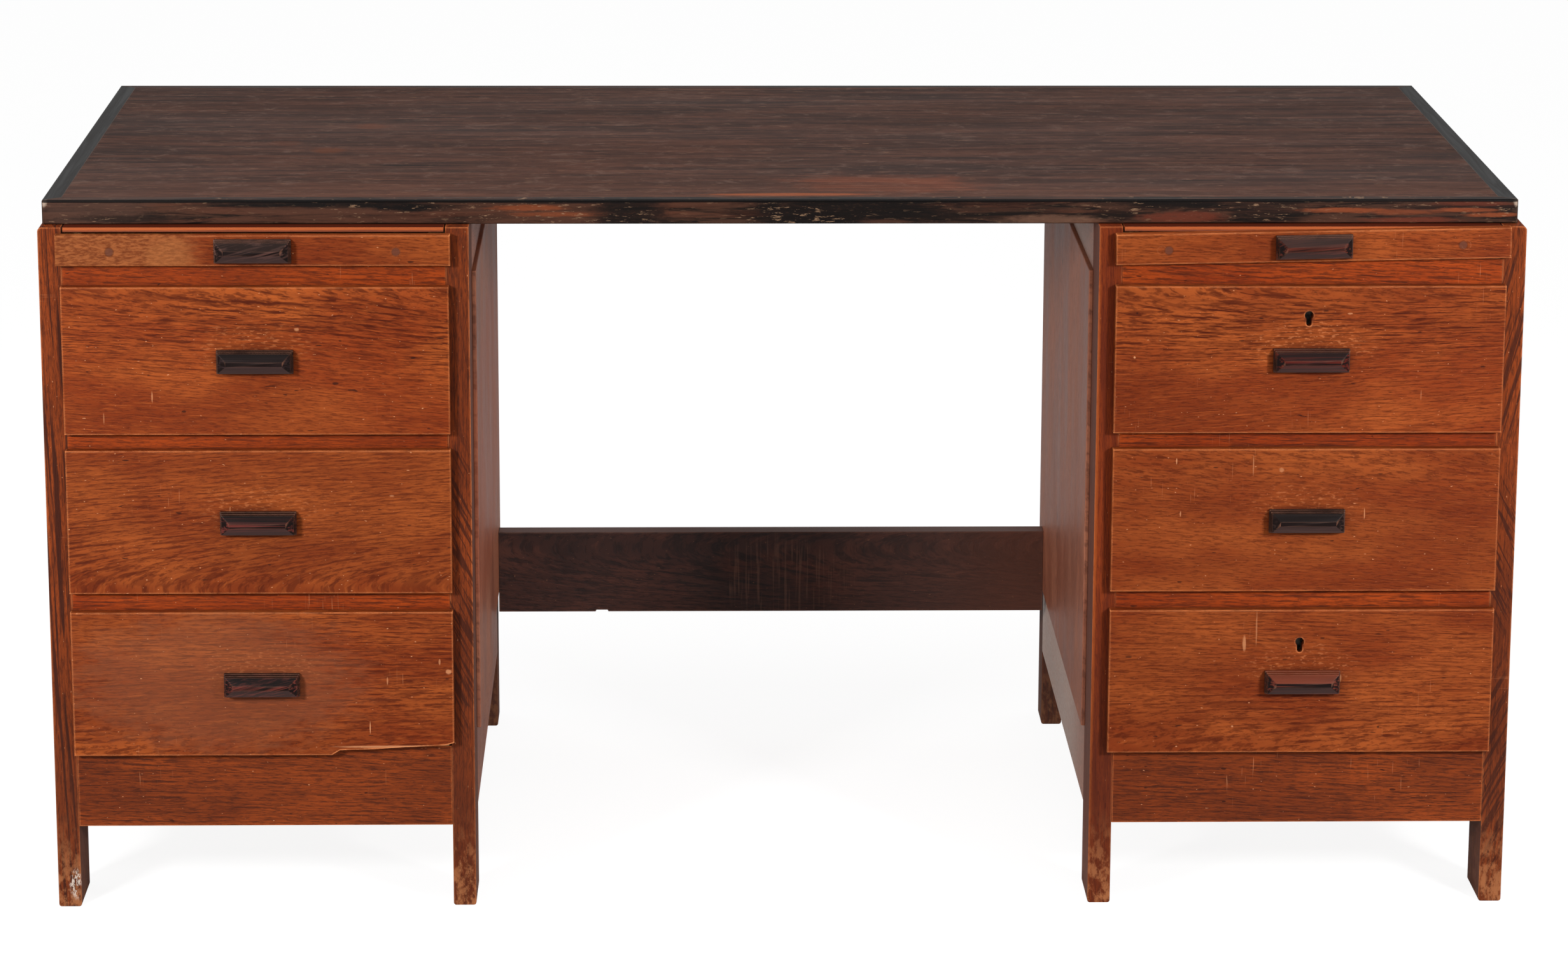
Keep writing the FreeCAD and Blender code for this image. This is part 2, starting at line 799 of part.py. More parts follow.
def drawer_pieces(name, side, number):
    """Every piece of one drawer."""
    low, high = front_spans[number]
    return {
        f"{name}_drawer_{number}_front": [drawer_front(name, side, number)],
        f"{name}_drawer_{number}_box": drawer_box(side, number),
        f"{name}_drawer_{number}_bottom": [drawer_bottom(side, number)],
        f"{name}_drawer_{number}_handle": [handle(centre_of(side), (low + high) / 2)],
    }


def slide_pieces(name, side):
    """Every piece of one writing slide."""
    return {
        f"{name}_slide_board": [slide_board(side)],
        f"{name}_slide_lath": slide_lath(name, side),
        f"{name}_slide_handle": [slide_handle(name, side)],
    }


def lock_pieces(number):
    """The case and the bolt of one lock."""
    return {
        f"lock_{number}_case": [lock_case(number)],
        f"lock_{number}_bolt": [lock_bolt(number)],
    }


pieces = top_pieces()
pieces["stretcher"] = [stretcher()]
for name, side in sides.items():
    pieces.update(pedestal_pieces(name, side))
    pieces.update(slide_pieces(name, side))
    for number in front_spans:
        pieces.update(drawer_pieces(name, side, number))
for number in keyhole_drops:
    pieces.update(lock_pieces(number))

os.makedirs("parts", exist_ok=True)
for node, solids in pieces.items():
    shape = solids[0] if len(solids) == 1 else Part.makeCompound(solids)
    shape.exportStep(f"parts/{node}.step")
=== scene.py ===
import math
import bpy
from mathutils import Matrix, Vector


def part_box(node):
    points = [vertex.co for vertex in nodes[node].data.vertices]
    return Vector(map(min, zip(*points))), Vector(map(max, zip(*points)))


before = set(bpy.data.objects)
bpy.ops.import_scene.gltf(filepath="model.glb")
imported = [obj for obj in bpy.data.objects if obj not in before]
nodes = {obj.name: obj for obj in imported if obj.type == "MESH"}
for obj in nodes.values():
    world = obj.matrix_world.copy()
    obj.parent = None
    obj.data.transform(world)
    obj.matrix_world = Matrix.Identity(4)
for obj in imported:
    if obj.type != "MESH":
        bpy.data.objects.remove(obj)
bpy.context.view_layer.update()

# The photograph's camera, solved from the desk's own edges. Lengths are in metres.
IMAGE_WIDTH = 2464
FOCAL_PIXELS = 7684.9
SENSOR_WIDTH = 36.0
CAMERA_PLACE = Vector((-0.1196, -5.5487, 1.7366))
CAMERA_PITCH = math.radians(13.62)
CAMERA_YAW = math.radians(1.33)
CAMERA_ROLL = math.radians(-0.20)

SIDES = ("left", "right")
DRAWERS = (1, 2, 3)
LOCKED_DRAWERS = (1, 3)

# The desk's axes, and the places on them that the marks go by
ACROSS, BACK, UP = 0, 1, 2
TOP_HEIGHT = 0.79
OUTER_LEG, INNER_LEG = 0.7875, 0.3515
LEG_FACE, LEG_MIDDLE = -0.385, -0.36
LATH_FACE = -0.397
KEYHOLES_ACROSS = 0.5658

# Each piece's pattern has a seed of its own, counted on from that of its side or of the top
SIDE_SEEDS = (0, 30)
SLIDE_SEED, DRAWER_SEED, SEEDS_PER_DRAWER = 11, 14, 4
TOP_SEED = 61

# Growth rings, how far wear and the painted shade and grime of corners reach, and how sharp edges are eased
RING_SPACING, SOFTWOOD_RING_SPACING = 0.0047, 0.006
WORN_REACH, EBONY_WORN_REACH = 0.003, 0.0016
GRIME_AND_SHADE_REACH, EBONY_GRIME_AND_SHADE_REACH, SOFTWOOD_GRIME_AND_SHADE_REACH = 0.008, 0.004, 0.01
EASED_WIDTH, SHARP_ANGLE = 0.0006, math.radians(40)
WELD_DISTANCE = 0.00002
RELIEF_DEPTH = 0.0004
RAY_SAMPLES = 6

# Inner pieces, whose edges stay as they were sawn, known by the ends of their names
SHARP_PIECES = ("_bottom", "_core", "_veneer", "_runners", "_board", "_bolt", "_case", "_box")

# Marks on the fronts, as (across, up, half width, half height, share)
SCRATCHES = {
    ("left", 1): ((-0.6808, 0.5804, 0.0008, 0.0065, 0.6), (-0.7334, 0.5566, 0.0008, 0.007, 0.3),
                  (-0.5241, 0.6543, 0.003, 0.002, 0.5)),
    ("left", 2): ((-0.60, 0.455, 0.0008, 0.004, 0.3), (-0.425, 0.47, 0.003, 0.0012, 0.35)),
    ("left", 3): ((-0.4525, 0.2085, 0.0008, 0.0075, 0.65), (-0.4328, 0.2615, 0.001, 0.005, 0.45),
                  (-0.3755, 0.283, 0.0012, 0.004, 0.5), (-0.4295, 0.1868, 0.068, 0.0014, 0.6),
                  (-0.366, 0.272, 0.0035, 0.003, 0.6)),
    ("right", 1): ((0.3781, 0.6223, 0.0014, 0.0014, 0.8), (0.6102, 0.6704, 0.0032, 0.0012, 0.5),
                   (0.6897, 0.5803, 0.0006, 0.006, 0.3)),
    ("right", 2): ((0.4262, 0.5071, 0.0009, 0.004, 0.6), (0.5099, 0.502, 0.0008, 0.012, 0.35),
                   (0.5407, 0.4969, 0.003, 0.003, 0.4), (0.6324, 0.4476, 0.0008, 0.007, 0.5),
                   (0.4316, 0.448, 0.0009, 0.0035, 0.5)),
    ("right", 3): ((0.505, 0.302, 0.0022, 0.010, 0.5), (0.518, 0.318, 0.0009, 0.02, 0.35),
                   (0.494, 0.207, 0.0014, 0.0014, 0.6), (0.612, 0.262, 0.0008, 0.005, 0.5)),
}
KNOTS = {
    ("left", 1): ((-0.4836, 0.5948, 0.004, 0.0016, 0.8), (-0.647, 0.5642, 0.0032, 0.0014, 0.8),
                  (-0.5113, 0.5428, 0.004, 0.001, 0.6), (-0.37, 0.6444, 0.005, 0.0009, 0.8)),
    ("right", 1): ((0.38, 0.671, 0.0012, 0.0012, 0.8),),
    ("right", 3): ((0.655, 0.206, 0.0016, 0.0013, 0.8), (0.652, 0.312, 0.004, 0.001, 0.6)),
}
FADED_FRONTS = {("left", 3): ((-0.62, 0.262, 0.18, 0.09, 0.3),)}
KEYHOLE_RIMS = {
    ("right", 1): ((KEYHOLES_ACROSS, 0.6662, 0.0066, 0.0102, 1.0),),
    ("right", 3): ((KEYHOLES_ACROSS, 0.3011, 0.0066, 0.0102, 1.0),),
}
FRONT_MARKS = (
    (SCRATCHES, (206, 140, 96)),
    (KNOTS, (40, 18, 12)),
    (FADED_FRONTS, (132, 82, 56)),
    (KEYHOLE_RIMS, (92, 38, 17)),
)
MARK_DEPTH = 0.02

# How far rubbed varnish lies over a handle's middle, and half lengths of it and of the painted shadow and
# grime round a handle
RUBBED_RISE = 0.016
RUBBED_HALVES, SHADOW_AND_GRIME_HALVES = (0.075, 0.05, 0.03), (0.047, 0.05, 0.0185)

# The middles of the plugs' round ends in the two laths, and the half lengths of an end and its dark rim
PLUGS = {
    "left": ((-0.7225, LATH_FACE, 0.739), (-0.4165, LATH_FACE, 0.739)),
    "right": ((0.4127, LATH_FACE, 0.7398), (0.7296, LATH_FACE, 0.7454)),
}
PLUG_HALVES, PLUG_RIM_HALVES = (0.0042, 0.006, 0.0042), (0.0052, 0.006, 0.0052)

# Other worn, faded and stained places, each as its middle and its half lengths
FADED_LATH_END = (-0.735, LATH_FACE, 0.738), (0.108, 0.04, 0.07)
PALEST_ON_LATH = (-0.655, LATH_FACE, 0.735), (0.032, 0.04, 0.02)
REDDER_LEG = (INNER_LEG, LEG_MIDDLE, 0.42), (0.03, 0.08, 0.5)
# A worn leg arris that also carries a painted highlight
WORN_AND_LIT_LEG_ARRIS = (0.3402, LEG_FACE, 0.40), (0.0024, 0.01, 0.42)
CHIPPED_FOOT = (-0.781, LEG_FACE, 0.026), (0.007, 0.012, 0.018)
REDDER_PANEL = (-0.339, 0.0, 0.45), (0.02, 0.5, 0.17)
RUBBED_STRETCHER = (0.01, 0.24, 0.205), (0.09, 0.1, 0.055)
RUBBED_TOP = (0.11, -0.27, TOP_HEIGHT), (0.12, 0.075, 0.02)
ORANGE_ON_TOP = (0.01, -0.335, TOP_HEIGHT), (0.10, 0.009, 0.02)

# Brown spots on the top, as (across, back, share), and their half lengths
BROWN_SPOTS = ((-0.511, -0.056, 0.5), (-0.472, 0.110, 0.4), (-0.564, -0.005, 0.25))
BROWN_SPOT_HALVES = (0.022, 0.022, 0.02)

# Heights on the thin strip over a slide: where its ledge ends and where its worn arris begins
LEDGE_END, ARRIS_START = (0.752, 0.754), (0.7600, 0.7608)

# Dark stripes on the front legs, as (across, up, half height, turn, stripes and streaks per metre, share)
LEG_STRIPES = {
    "left": ((-OUTER_LEG, 0.40, 0.60, 0.04, 170, 4, 0.9), (-INNER_LEG, 0.36, 0.20, 0.45, 300, 16, 0.8),
             (-INNER_LEG, 0.68, 0.12, 0.15, 240, 8, 0.4)),
    "right": ((OUTER_LEG, 0.63, 0.13, -0.25, 280, 9, 0.8), (OUTER_LEG, 0.40, 0.10, 0.50, 300, 16, 0.8),
              (OUTER_LEG, 0.15, 0.15, -0.45, 260, 14, 0.75), (INNER_LEG, 0.40, 0.40, 0.03, 200, 5, 0.45)),
}
STRIPE_HALF_WIDTH, STRIPE_HALF_DEPTH = 0.02, 0.08

# Patches along the top's front edge, as (across, up, half width, half height, share, colour)
BLACK, GREY_BROWN, BROWN = (22, 18, 17), (82, 57, 47), (80, 50, 38)
TAN, ORANGE, RED_BROWN = (110, 78, 62), (126, 64, 37), (96, 46, 32)
EDGE_PATCHES = (
    (-0.745, 0.777, 0.070, 0.040, 0.6, GREY_BROWN), (-0.700, 0.7695, 0.075, 0.005, 0.7, BLACK),
    (-0.640, 0.780, 0.060, 0.003, 0.6, BROWN), (-0.480, 0.777, 0.140, 0.004, 0.7, BROWN),
    (-0.500, 0.786, 0.140, 0.005, 0.9, BLACK), (-0.480, 0.7695, 0.150, 0.006, 0.6, BROWN),
    (-0.400, 0.782, 0.050, 0.006, 1.0, BLACK), (-0.270, 0.776, 0.100, 0.040, 0.6, BROWN),
    (-0.275, 0.781, 0.045, 0.004, 0.7, ORANGE), (-0.250, 0.788, 0.110, 0.003, 0.8, BLACK),
    (-0.245, 0.774, 0.050, 0.003, 0.6, ORANGE), (-0.165, 0.775, 0.045, 0.040, 0.9, BLACK),
    (-0.090, 0.773, 0.040, 0.0035, 0.5, BROWN), (-0.080, 0.784, 0.070, 0.0045, 0.5, BROWN),
    (0.070, 0.777, 0.125, 0.040, 0.95, BLACK), (0.110, 0.766, 0.030, 0.003, 0.6, BROWN),
    (0.240, 0.777, 0.080, 0.040, 0.5, BLACK), (0.290, 0.768, 0.065, 0.006, 0.6, TAN),
    (0.435, 0.771, 0.055, 0.007, 0.85, RED_BROWN), (0.420, 0.785, 0.080, 0.005, 0.8, BLACK),
    (0.520, 0.777, 0.050, 0.040, 0.6, BLACK), (0.605, 0.778, 0.055, 0.0035, 0.9, ORANGE),
    (0.590, 0.768, 0.050, 0.0035, 0.5, BROWN), (0.670, 0.776, 0.050, 0.0035, 0.6, ORANGE),
    (0.680, 0.767, 0.060, 0.004, 0.9, RED_BROWN), (0.745, 0.7855, 0.050, 0.0035, 0.7, RED_BROWN),
    (0.735, 0.778, 0.040, 0.003, 0.9, ORANGE), (0.765, 0.773, 0.035, 0.003, 0.9, ORANGE),
)
EDGE_PATCH_DEPTH = 0.03
EDGE_HIGHLIGHT_DROP, EDGE_HIGHLIGHT_HALVES = 0.002, (0.005, 0.02, 0.007)
# The black upper arris of that edge: how far it reaches back and down before it fades
ARRIS_BACK, ARRIS_DOWN, ARRIS_FADE = 0.002, 0.0024, 0.001

# How each handle's streaks run, the colour of its streaks, and the painted light and shade of its upper
# bevel
HANDLES = {
    ("left", "slide"): {"turn": -0.25, "stripe": (108, 74, 66), "upper": (36, 24, 20)},
    ("left", 1): {"stripe": (46, 32, 32)},
    ("left", 2): {"stripe": (92, 40, 34)},
    ("left", 3): {"turn": -0.28, "stripe": (100, 46, 38)},
    ("right", "slide"): {"turn": -0.1, "stripe": (124, 56, 40), "upper": (52, 36, 32)},
    ("right", 1): {"stripe": (126, 42, 28), "upper": (30, 15, 13)},
    ("right", 2): {"stripe": (66, 46, 40)},
    ("right", 3): {"stripe": (100, 46, 34), "upper": (104, 46, 26)},
}

# How each front was cut from its log: where the pith lay, how it leaned and swayed, and which half is calm.
# Then how strong its streaks are, how light it is and how much it was rubbed, where that isn't the usual.
FRONT_FIGURE = {
    ("left", 1): {"pith": (0.092, 0.050), "tilt": (0.04, 0.04), "calm": 0.6, "streaks": 0.95, "sway": 0.017},
    ("left", 2): {"pith": (-0.075, 0.045), "tilt": (-0.02, 0.09), "calm": -0.3, "streaks": 0.75,
                  "shade": 0.90},
    ("left", 3): {"pith": (-0.110, 0.110), "tilt": (0.02, 0.03), "calm": 0.0, "streaks": 0.7, "shade": 0.93},
    ("right", 1): {"pith": (0.095, 0.045), "tilt": (-0.06, 0.06), "calm": 0.6, "streaks": 1.0,
                   "shade": 0.97, "rubbing": 0.75},
    ("right", 2): {"pith": (0.120, 0.090), "tilt": (0.03, 0.03), "calm": 0.4, "streaks": 0.35, "shade": 0.9},
    ("right", 3): {"pith": (-0.100, 0.090), "tilt": (0.05, 0.05), "calm": -0.2, "streaks": 0.65,
                   "shade": 0.90},
}
LATH_SHADES = {"left": 0.94, "right": 0.95}

# The dovetails of the drawer boxes, in the sizes that the solids have, and the breadth of their joint lines
FRONT_TAIL_COUNT, BACK_TAIL_COUNT = 4, 3
TAIL_WIDTH_SHARE, TAIL_SLOPE = 0.68, 0.17
WALL, BACK_WALL_RISE, BACK_WALL_DROP = 0.012, 0.014, 0.010
SEAM, JOINT_LINE, JOINT_LINE_EDGE = 0.0002, 0.0003, 0.0008


# Materials

def tone(red, green, blue):
    """A colour given as it looks on a screen, from 0 to 255, in the linear values that the shader takes."""
    def linear(share):
        return share / 12.92 if share <= 0.04045 else ((share + 0.055) / 1.055) ** 2.4

    return (linear(red / 255), linear(green / 255), linear(blue / 255), 1.0)


class Paint:
    """A material while it is being made. Each call adds a node and gives back its output."""

    def __init__(self, name):
        self.material = bpy.data.materials.new(name)
        self.material.use_nodes = True
        self.tree = self.material.node_tree
        self.tree.nodes.clear()
        self.place = self.node("ShaderNodeTexCoord").outputs["Object"]

    def feed(self, socket, value):
        """Links a socket to an output, or sets it to a plain value."""
        if isinstance(value, bpy.types.NodeSocket):
            self.tree.links.new(value, socket)
        else:
            socket.default_value = value

    def node(self, kind, inputs=None, **settings):
        """Adds a shader node. Its inputs go by name or number."""
        made = self.tree.nodes.new(kind)
        for name, value in settings.items():
            setattr(made, name, value)
        for key, value in (inputs or {}).items():
            self.feed(made.inputs[key], value)
        return made

    def calculate(self, operation, first, second=0.0):
        return self.node("ShaderNodeMath", {0: first, 1: second}, operation=operation).outputs[0]

    def sum(self, first, second):
        return self.calculate("ADD", first, second)

    def times(self, first, second):
        return self.calculate("MULTIPLY", first, second)

    def span(self, value, low, high, to_low=0.0, to_high=1.0):
        """Eases a value from to_low at low to to_high at high."""
        inputs = {"Value": value, "From Min": low, "From Max": high, "To Min": to_low, "To Max": to_high}
        return self.node("ShaderNodeMapRange", inputs, interpolation_type="SMOOTHSTEP").outputs[0]

    def mix(self, share, first, second):
        """The first colour with a share of the second laid over it."""
        made = self.node("ShaderNodeMix", data_type="RGBA")
        for name, value in (("Factor", share), ("A", first), ("B", second)):
            self.feed([s for s in made.inputs if s.name == name and s.enabled][0], value)
        return [s for s in made.outputs if s.enabled][0]

    def part(self, vector, axis):
        """One of a vector's three parts."""
        return self.node("ShaderNodeSeparateXYZ", {0: vector}).outputs[axis]

    def coordinate(self, axis):
        """How far across, back or up a point lies on the desk."""
        return self.part(self.place, axis)

    def facing(self, axis):
        """How far a face looks along one of the desk's axes, from -1 to 1."""
        return self.part(self.node("ShaderNodeTexCoord").outputs["Normal"], axis)

    def sideways(self):
        """1 on the faces that look along the desk's width, and 0 on the others."""
        return self.span(self.calculate("ABSOLUTE", self.facing(ACROSS)), 0.6, 0.9)

    def upward(self):
        """1 on the faces that look up, and 0 on the others."""
        return self.span(self.facing(UP), 0.8, 0.95)

    def away_from(self, centre):
        """The place, counted from another point."""
        return self.node("ShaderNodeVectorMath", {0: self.place, 1: centre}, operation="SUBTRACT").outputs[0]

    def grain_space(self, along, centre):
        """The place from the board's middle as (along the grain, across it, through the board).

        Along is the axis of the grain. It is yz where the grain runs along y in an upright board."""
        split = self.node("ShaderNodeSeparateXYZ", {0: self.away_from(centre)})
        axes = {"x": "XZY", "z": "ZXY", "y": "YXZ", "yz": "YZX"}[along]
        joined = {number: split.outputs[axis] for number, axis in enumerate(axes)}
        return self.node("ShaderNodeCombineXYZ", joined).outputs[0]

    def stretched(self, vector, scale, shift=0.0, turn=(0, 0, 0)):
        """A vector scaled along each axis, turned and moved to another spot of the pattern."""
        spot = (shift * 1.31, shift * 2.17, shift * 3.73)
        inputs = {"Vector": vector, "Scale": scale, "Rotation": turn, "Location": spot}
        return self.node("ShaderNodeMapping", inputs).outputs[0]

    def noise(self, vector, scale, shift=0.0, detail=2.0, roughness=0.5, distortion=0.0, turn=(0, 0, 0)):
        """Uneven values between 0 and 1, as fine along each axis as scale says. Shift picks their spot."""
        inputs = {
            "Vector": self.stretched(vector, scale, shift, turn),
            "Scale": 1.0,
            "Detail": detail,
            "Roughness": roughness,
            "Distortion": distortion,
        }
        return self.node("ShaderNodeTexNoise", inputs).outputs["Fac"]

    def flow(self, space, pith, tilt, sway, seed):
        """The place as (along the grain, distance from the tree's pith, side), so patterns bend as rings do.

        The distance and how steeply the rings meet the face come after it. The pith lies at
        pith = (across, through) from the board's middle, leans by tilt and wanders by sway."""
        slow = self.noise(space, (2.6, 11, 11), seed, 2.0)
        quick = self.noise(space, (17, 75, 75), seed + 5, 2.0, 0.6)
        wide_sway = self.times(self.sum(slow, -0.5), sway)
        small_sway = self.times(self.sum(quick, -0.5), sway * 0.16)
        wander = self.sum(wide_sway, small_sway)
        split = self.node("ShaderNodeSeparateXYZ", {0: space})
        along = split.outputs[0]
        across = self.sum(self.sum(split.outputs[1], wander), self.sum(self.times(along, tilt[0]), -pith[0]))
        depth = self.sum(split.outputs[2], self.times(wander, 0.4))
        through = self.sum(depth, self.sum(self.times(along, tilt[1]), -pith[1]))
        squares = self.sum(self.times(across, across), self.times(through, through))
        radius = self.calculate("POWER", squares, 0.5)
        steep = self.calculate("ABSOLUTE", self.calculate("DIVIDE", across, radius))
        side = self.times(across, 25.0)
        return self.node("ShaderNodeCombineXYZ", {0: along, 1: radius, 2: side}).outputs[0], radius, steep

    def edge_wear(self, radius, seed):
        """From 0 on the flat to 1 on worn outer edges, broken up along them."""
        rounded = self.node("ShaderNodeBevel", {"Radius": radius}, samples=RAY_SAMPLES).outputs[0]
        flat = self.node("ShaderNodeNewGeometry").outputs["True Normal"]
        match = self.node("ShaderNodeVectorMath", {0: rounded, 1: flat}, operation="DOT_PRODUCT")
        corner = self.span(match.outputs["Value"], 0.995, 0.90)
        around = self.node("ShaderNodeAmbientOcclusion", {"Distance": radius * 3}, samples=RAY_SAMPLES)
        outward = self.span(around.outputs["AO"], 0.55, 0.85)
        uneven = self.noise(self.place, (40, 40, 40), seed, 4.0, 0.7)
        patches = self.span(uneven, 0.36, 0.54, 0.35, 1.0)
        return self.times(self.times(corner, outward), patches)

    def crevice(self, distance):
        """From 0 in the open to 1 deep in corners and joints, where painted shade and grime go."""
        around = self.node("ShaderNodeAmbientOcclusion", {"Distance": distance}, samples=RAY_SAMPLES)
        return self.span(around.outputs["AO"], 0.75, 0.35)

    def spot(self, centre, halves, ragged=0.0, seed=0):
        """From 1 inside an oval with these half lengths to 0 outside it. Ragged breaks its edge up."""
        away = self.away_from(centre)
        scaled = self.node("ShaderNodeVectorMath", {0: away, 1: halves}, operation="DIVIDE").outputs[0]
        far = self.node("ShaderNodeVectorMath", {0: scaled}, operation="LENGTH").outputs["Value"]
        if ragged:
            scale = tuple(max(coarsest, 0.9 / half) for coarsest, half in zip((45, 60, 110), halves))
            uneven = self.noise(self.place, scale, seed, 4.0, 0.7)
            far = self.sum(far, self.times(self.sum(uneven, -0.5), ragged))
        return self.span(far, 1.12, 0.85 - 0.3 * ragged)

    def finish(self, colour, roughness, height, bump, specular=0.5, metallic=0.0):
        """Ends the material with its shader. Height is the relief, and bump says how much of it shows."""
        shader = self.node("ShaderNodeBsdfPrincipled", {"Base Color": colour, "Roughness": roughness})
        shader.inputs["Metallic"].default_value = metallic
        shader.inputs["Specular IOR Level"].default_value = specular
        relief = self.node("ShaderNodeBump", {"Height": height, "Strength": bump, "Distance": RELIEF_DEPTH})
        self.tree.links.new(relief.outputs[0], shader.inputs["Normal"])
        self.node("ShaderNodeOutputMaterial", {"Surface": shader.outputs[0]})
        return self.material


def middle_of(node):
    """The middle of a CAD node's box."""
    low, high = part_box(node)
    return tuple((low + high) / 2)


def oak_figure(paint, space, seed, tones, pith, tilt, sway, streaks, calm):
    """Bare stained oak: its colour, the patches of its stain and its relief.

    Rings, dark dashes, pores and pale fibres follow the pith. Calm fades the rings and dashes out of the
    board's lower half, or of its upper half where it is under 0."""
    light, middle, dark, _ = tones
    flow, radius, steep = paint.flow(space, pith, tilt, sway, seed)

    dash = paint.span(paint.noise(flow, (34, 640, 1), seed, 2.0, 0.55, 0.2), 0.50, 0.58)
    broad = paint.span(paint.noise(flow, (7, 120, 1), seed + 2, 3.0, 0.6), 0.44, 0.66)
    uneven_rings = paint.noise(flow, (8, 90, 1), seed + 9, 2.0)
    ring = paint.sum(paint.times(radius, 1 / RING_SPACING), uneven_rings)
    ring = paint.calculate("FRACT", ring)
    ring = paint.times(paint.span(ring, 0.40, 0.80), paint.span(ring, 1.0, 0.90))
    pore = paint.span(paint.noise(flow, (85, 850, 1), seed + 3, 3.0, 0.7), 0.48, 0.62)
    fibre = paint.noise(flow, (34, 800, 1), seed + 4, 3.0, 0.7)
    patch = paint.noise(space, (5, 13, 13), seed + 6, 3.0, 0.6)
    cloud = paint.noise(space, (2.4, 7, 7), seed + 7, 3.0, 0.6)

    uneven_height = paint.sum(paint.part(space, 1), paint.times(paint.sum(patch, -0.5), 0.09))
    half = paint.span(uneven_height, -0.03, 0.03, 1 - max(calm, 0), 1 + min(calm, 0))
    contrast = paint.times(paint.span(cloud, 0.62, 0.40, 0.5, 1.0), half)
    rich = paint.times(contrast, streaks)

    colour = paint.mix(paint.span(patch, 0.36, 0.64), middle, light)
    browner = paint.mix(0.55, middle, dark)
    colour = paint.mix(paint.span(cloud, 0.42, 0.66, 0.0, 0.6), colour, browner)
    broken_rings = paint.times(ring, paint.span(dash, 0.0, 0.6, 0.35, 1.0))
    broken_rings = paint.times(broken_rings, paint.span(steep, 0.0, 0.55, 0.45, 1.0))
    colour = paint.mix(paint.times(broad, paint.times(rich, 0.3)), colour, dark)
    colour = paint.mix(paint.times(broken_rings, rich), colour, dark)
    colour = paint.mix(paint.times(dash, paint.times(rich, 0.7)), colour, dark)
    colour = paint.mix(paint.times(pore, 0.6), colour, dark)
    colour = paint.mix(paint.span(fibre, 0.52, 0.72, 0.0, 0.6), colour, light)
    return colour, patch, paint.sum(paint.times(pore, -0.8), paint.times(fibre, 0.6))


def strewn_marks(paint, colour, space, seed, specks, scratches):
    """Pale specks, dark knots and fine scratches, strewn over the board."""
    dot = paint.span(paint.noise(space, (230, 460, 460), seed, 1.0), 0.765, 0.80)
    colour = paint.mix(paint.times(dot, 0.7 * specks), colour, tone(206, 142, 100))
    knot = paint.span(paint.noise(space, (70, 240, 240), seed + 1, 1.0), 0.76, 0.80)
    colour = paint.mix(paint.times(knot, 0.8 * specks), colour, tone(46, 20, 13))
    line = paint.noise(space, (900, 26, 26), seed, 0.0, turn=(0, 0, 0.25))
    where = paint.span(paint.noise(space, (12, 16, 16), seed + 8, 1.0), 0.60, 0.74)
    line = paint.times(paint.span(line, 0.76, 0.82), where)
    return paint.mix(paint.times(line, 0.45 * scratches), colour, tone(196, 126, 84))


def handled_marks(paint, colour, space, seed, tones, handle, rubbing):
    """Rubbed and chipped varnish over a handle with this middle, and painted shadow with grime round it."""
    light, _, dark, worn = tones
    above = (handle[ACROSS], handle[BACK], handle[UP] + RUBBED_RISE)
    rubbed = paint.spot(above, RUBBED_HALVES, 1.3, seed)
    chips = paint.span(paint.noise(space, (150, 420, 420), seed + 9, 2.0), 0.55, 0.66)
    colour = paint.mix(paint.times(rubbed, 0.3 * rubbing), colour, light)
    colour = paint.mix(paint.times(rubbed, paint.times(chips, 0.5 * rubbing)), colour, worn)
    # A painted shadow, with grime, darkens the wood round the handle
    shadow_and_grime = paint.spot(handle, SHADOW_AND_GRIME_HALVES, 0.25, seed + 1)
    return paint.mix(paint.times(shadow_and_grime, 0.5), colour, dark)


def oak(node, seed, along, tones, pith=(0.02, 0.05), tilt=(0.0, 0.05), sway=0.012, streaks=0.75, calm=0.0,
        specks=1.0, scratches=1.0, wear=0.8, gloss=0.5, specular=0.07, grime_and_shade=0.3, handle=None, rubbing=0.5,
        marks=(), extra=None):
    """Stained and varnished oak in four tones: light, middle, dark and worn.

    Marks are (place, half lengths, share, colour). Extra changes the colour last."""
    paint = Paint(node)
    space = paint.grain_space(along, middle_of(node))
    colour, patch, height = oak_figure(paint, space, seed, tones, pith, tilt, sway, streaks, calm)
    colour = strewn_marks(paint, colour, space, seed, specks, scratches)
    if handle is not None:
        colour = handled_marks(paint, colour, space, seed, tones, handle, rubbing)
    colour = paint.mix(paint.times(paint.edge_wear(WORN_REACH, seed), wear), colour, tones[3])
    # Painted shade, with grime, darkens corners and joints
    colour = paint.mix(paint.times(paint.crevice(GRIME_AND_SHADE_REACH), grime_and_shade), colour, tone(30, 12, 7))
    for place, halves, share, mark_tone in marks:
        colour = paint.mix(paint.times(paint.spot(place, halves, 1.0, seed), share), colour, mark_tone)
    if extra is not None:
        colour = extra(paint, colour)
    roughness = paint.span(patch, 0.3, 0.7, gloss, gloss + 0.14)
    return paint.finish(colour, roughness, height, 0.35, specular)


def front_oak(node, seed, shade=1.0, **settings):
    """The drawer fronts and laths: reddish-orange brown."""
    light = tone(164 * shade, 80 * shade, 33 * shade)
    middle = tone(132 * shade, 54 * shade, 20 * shade)
    return oak(node, seed, "x", (light, middle, tone(72, 23, 8), tone(216, 132, 80)), wear=1.0, **settings)


def rail_oak(node, seed, **settings):
    """The rails between the drawers, as bright as the fronts and redder, with more painted shade and grime
    under the fronts.
    """
    tones = (tone(168, 70, 22), tone(140, 52, 16), tone(74, 30, 16), tone(196, 112, 64))
    return oak(node, seed, "x", tones, pith=(0.3, 0.12), grime_and_shade=0.45, wear=0.25, **settings)


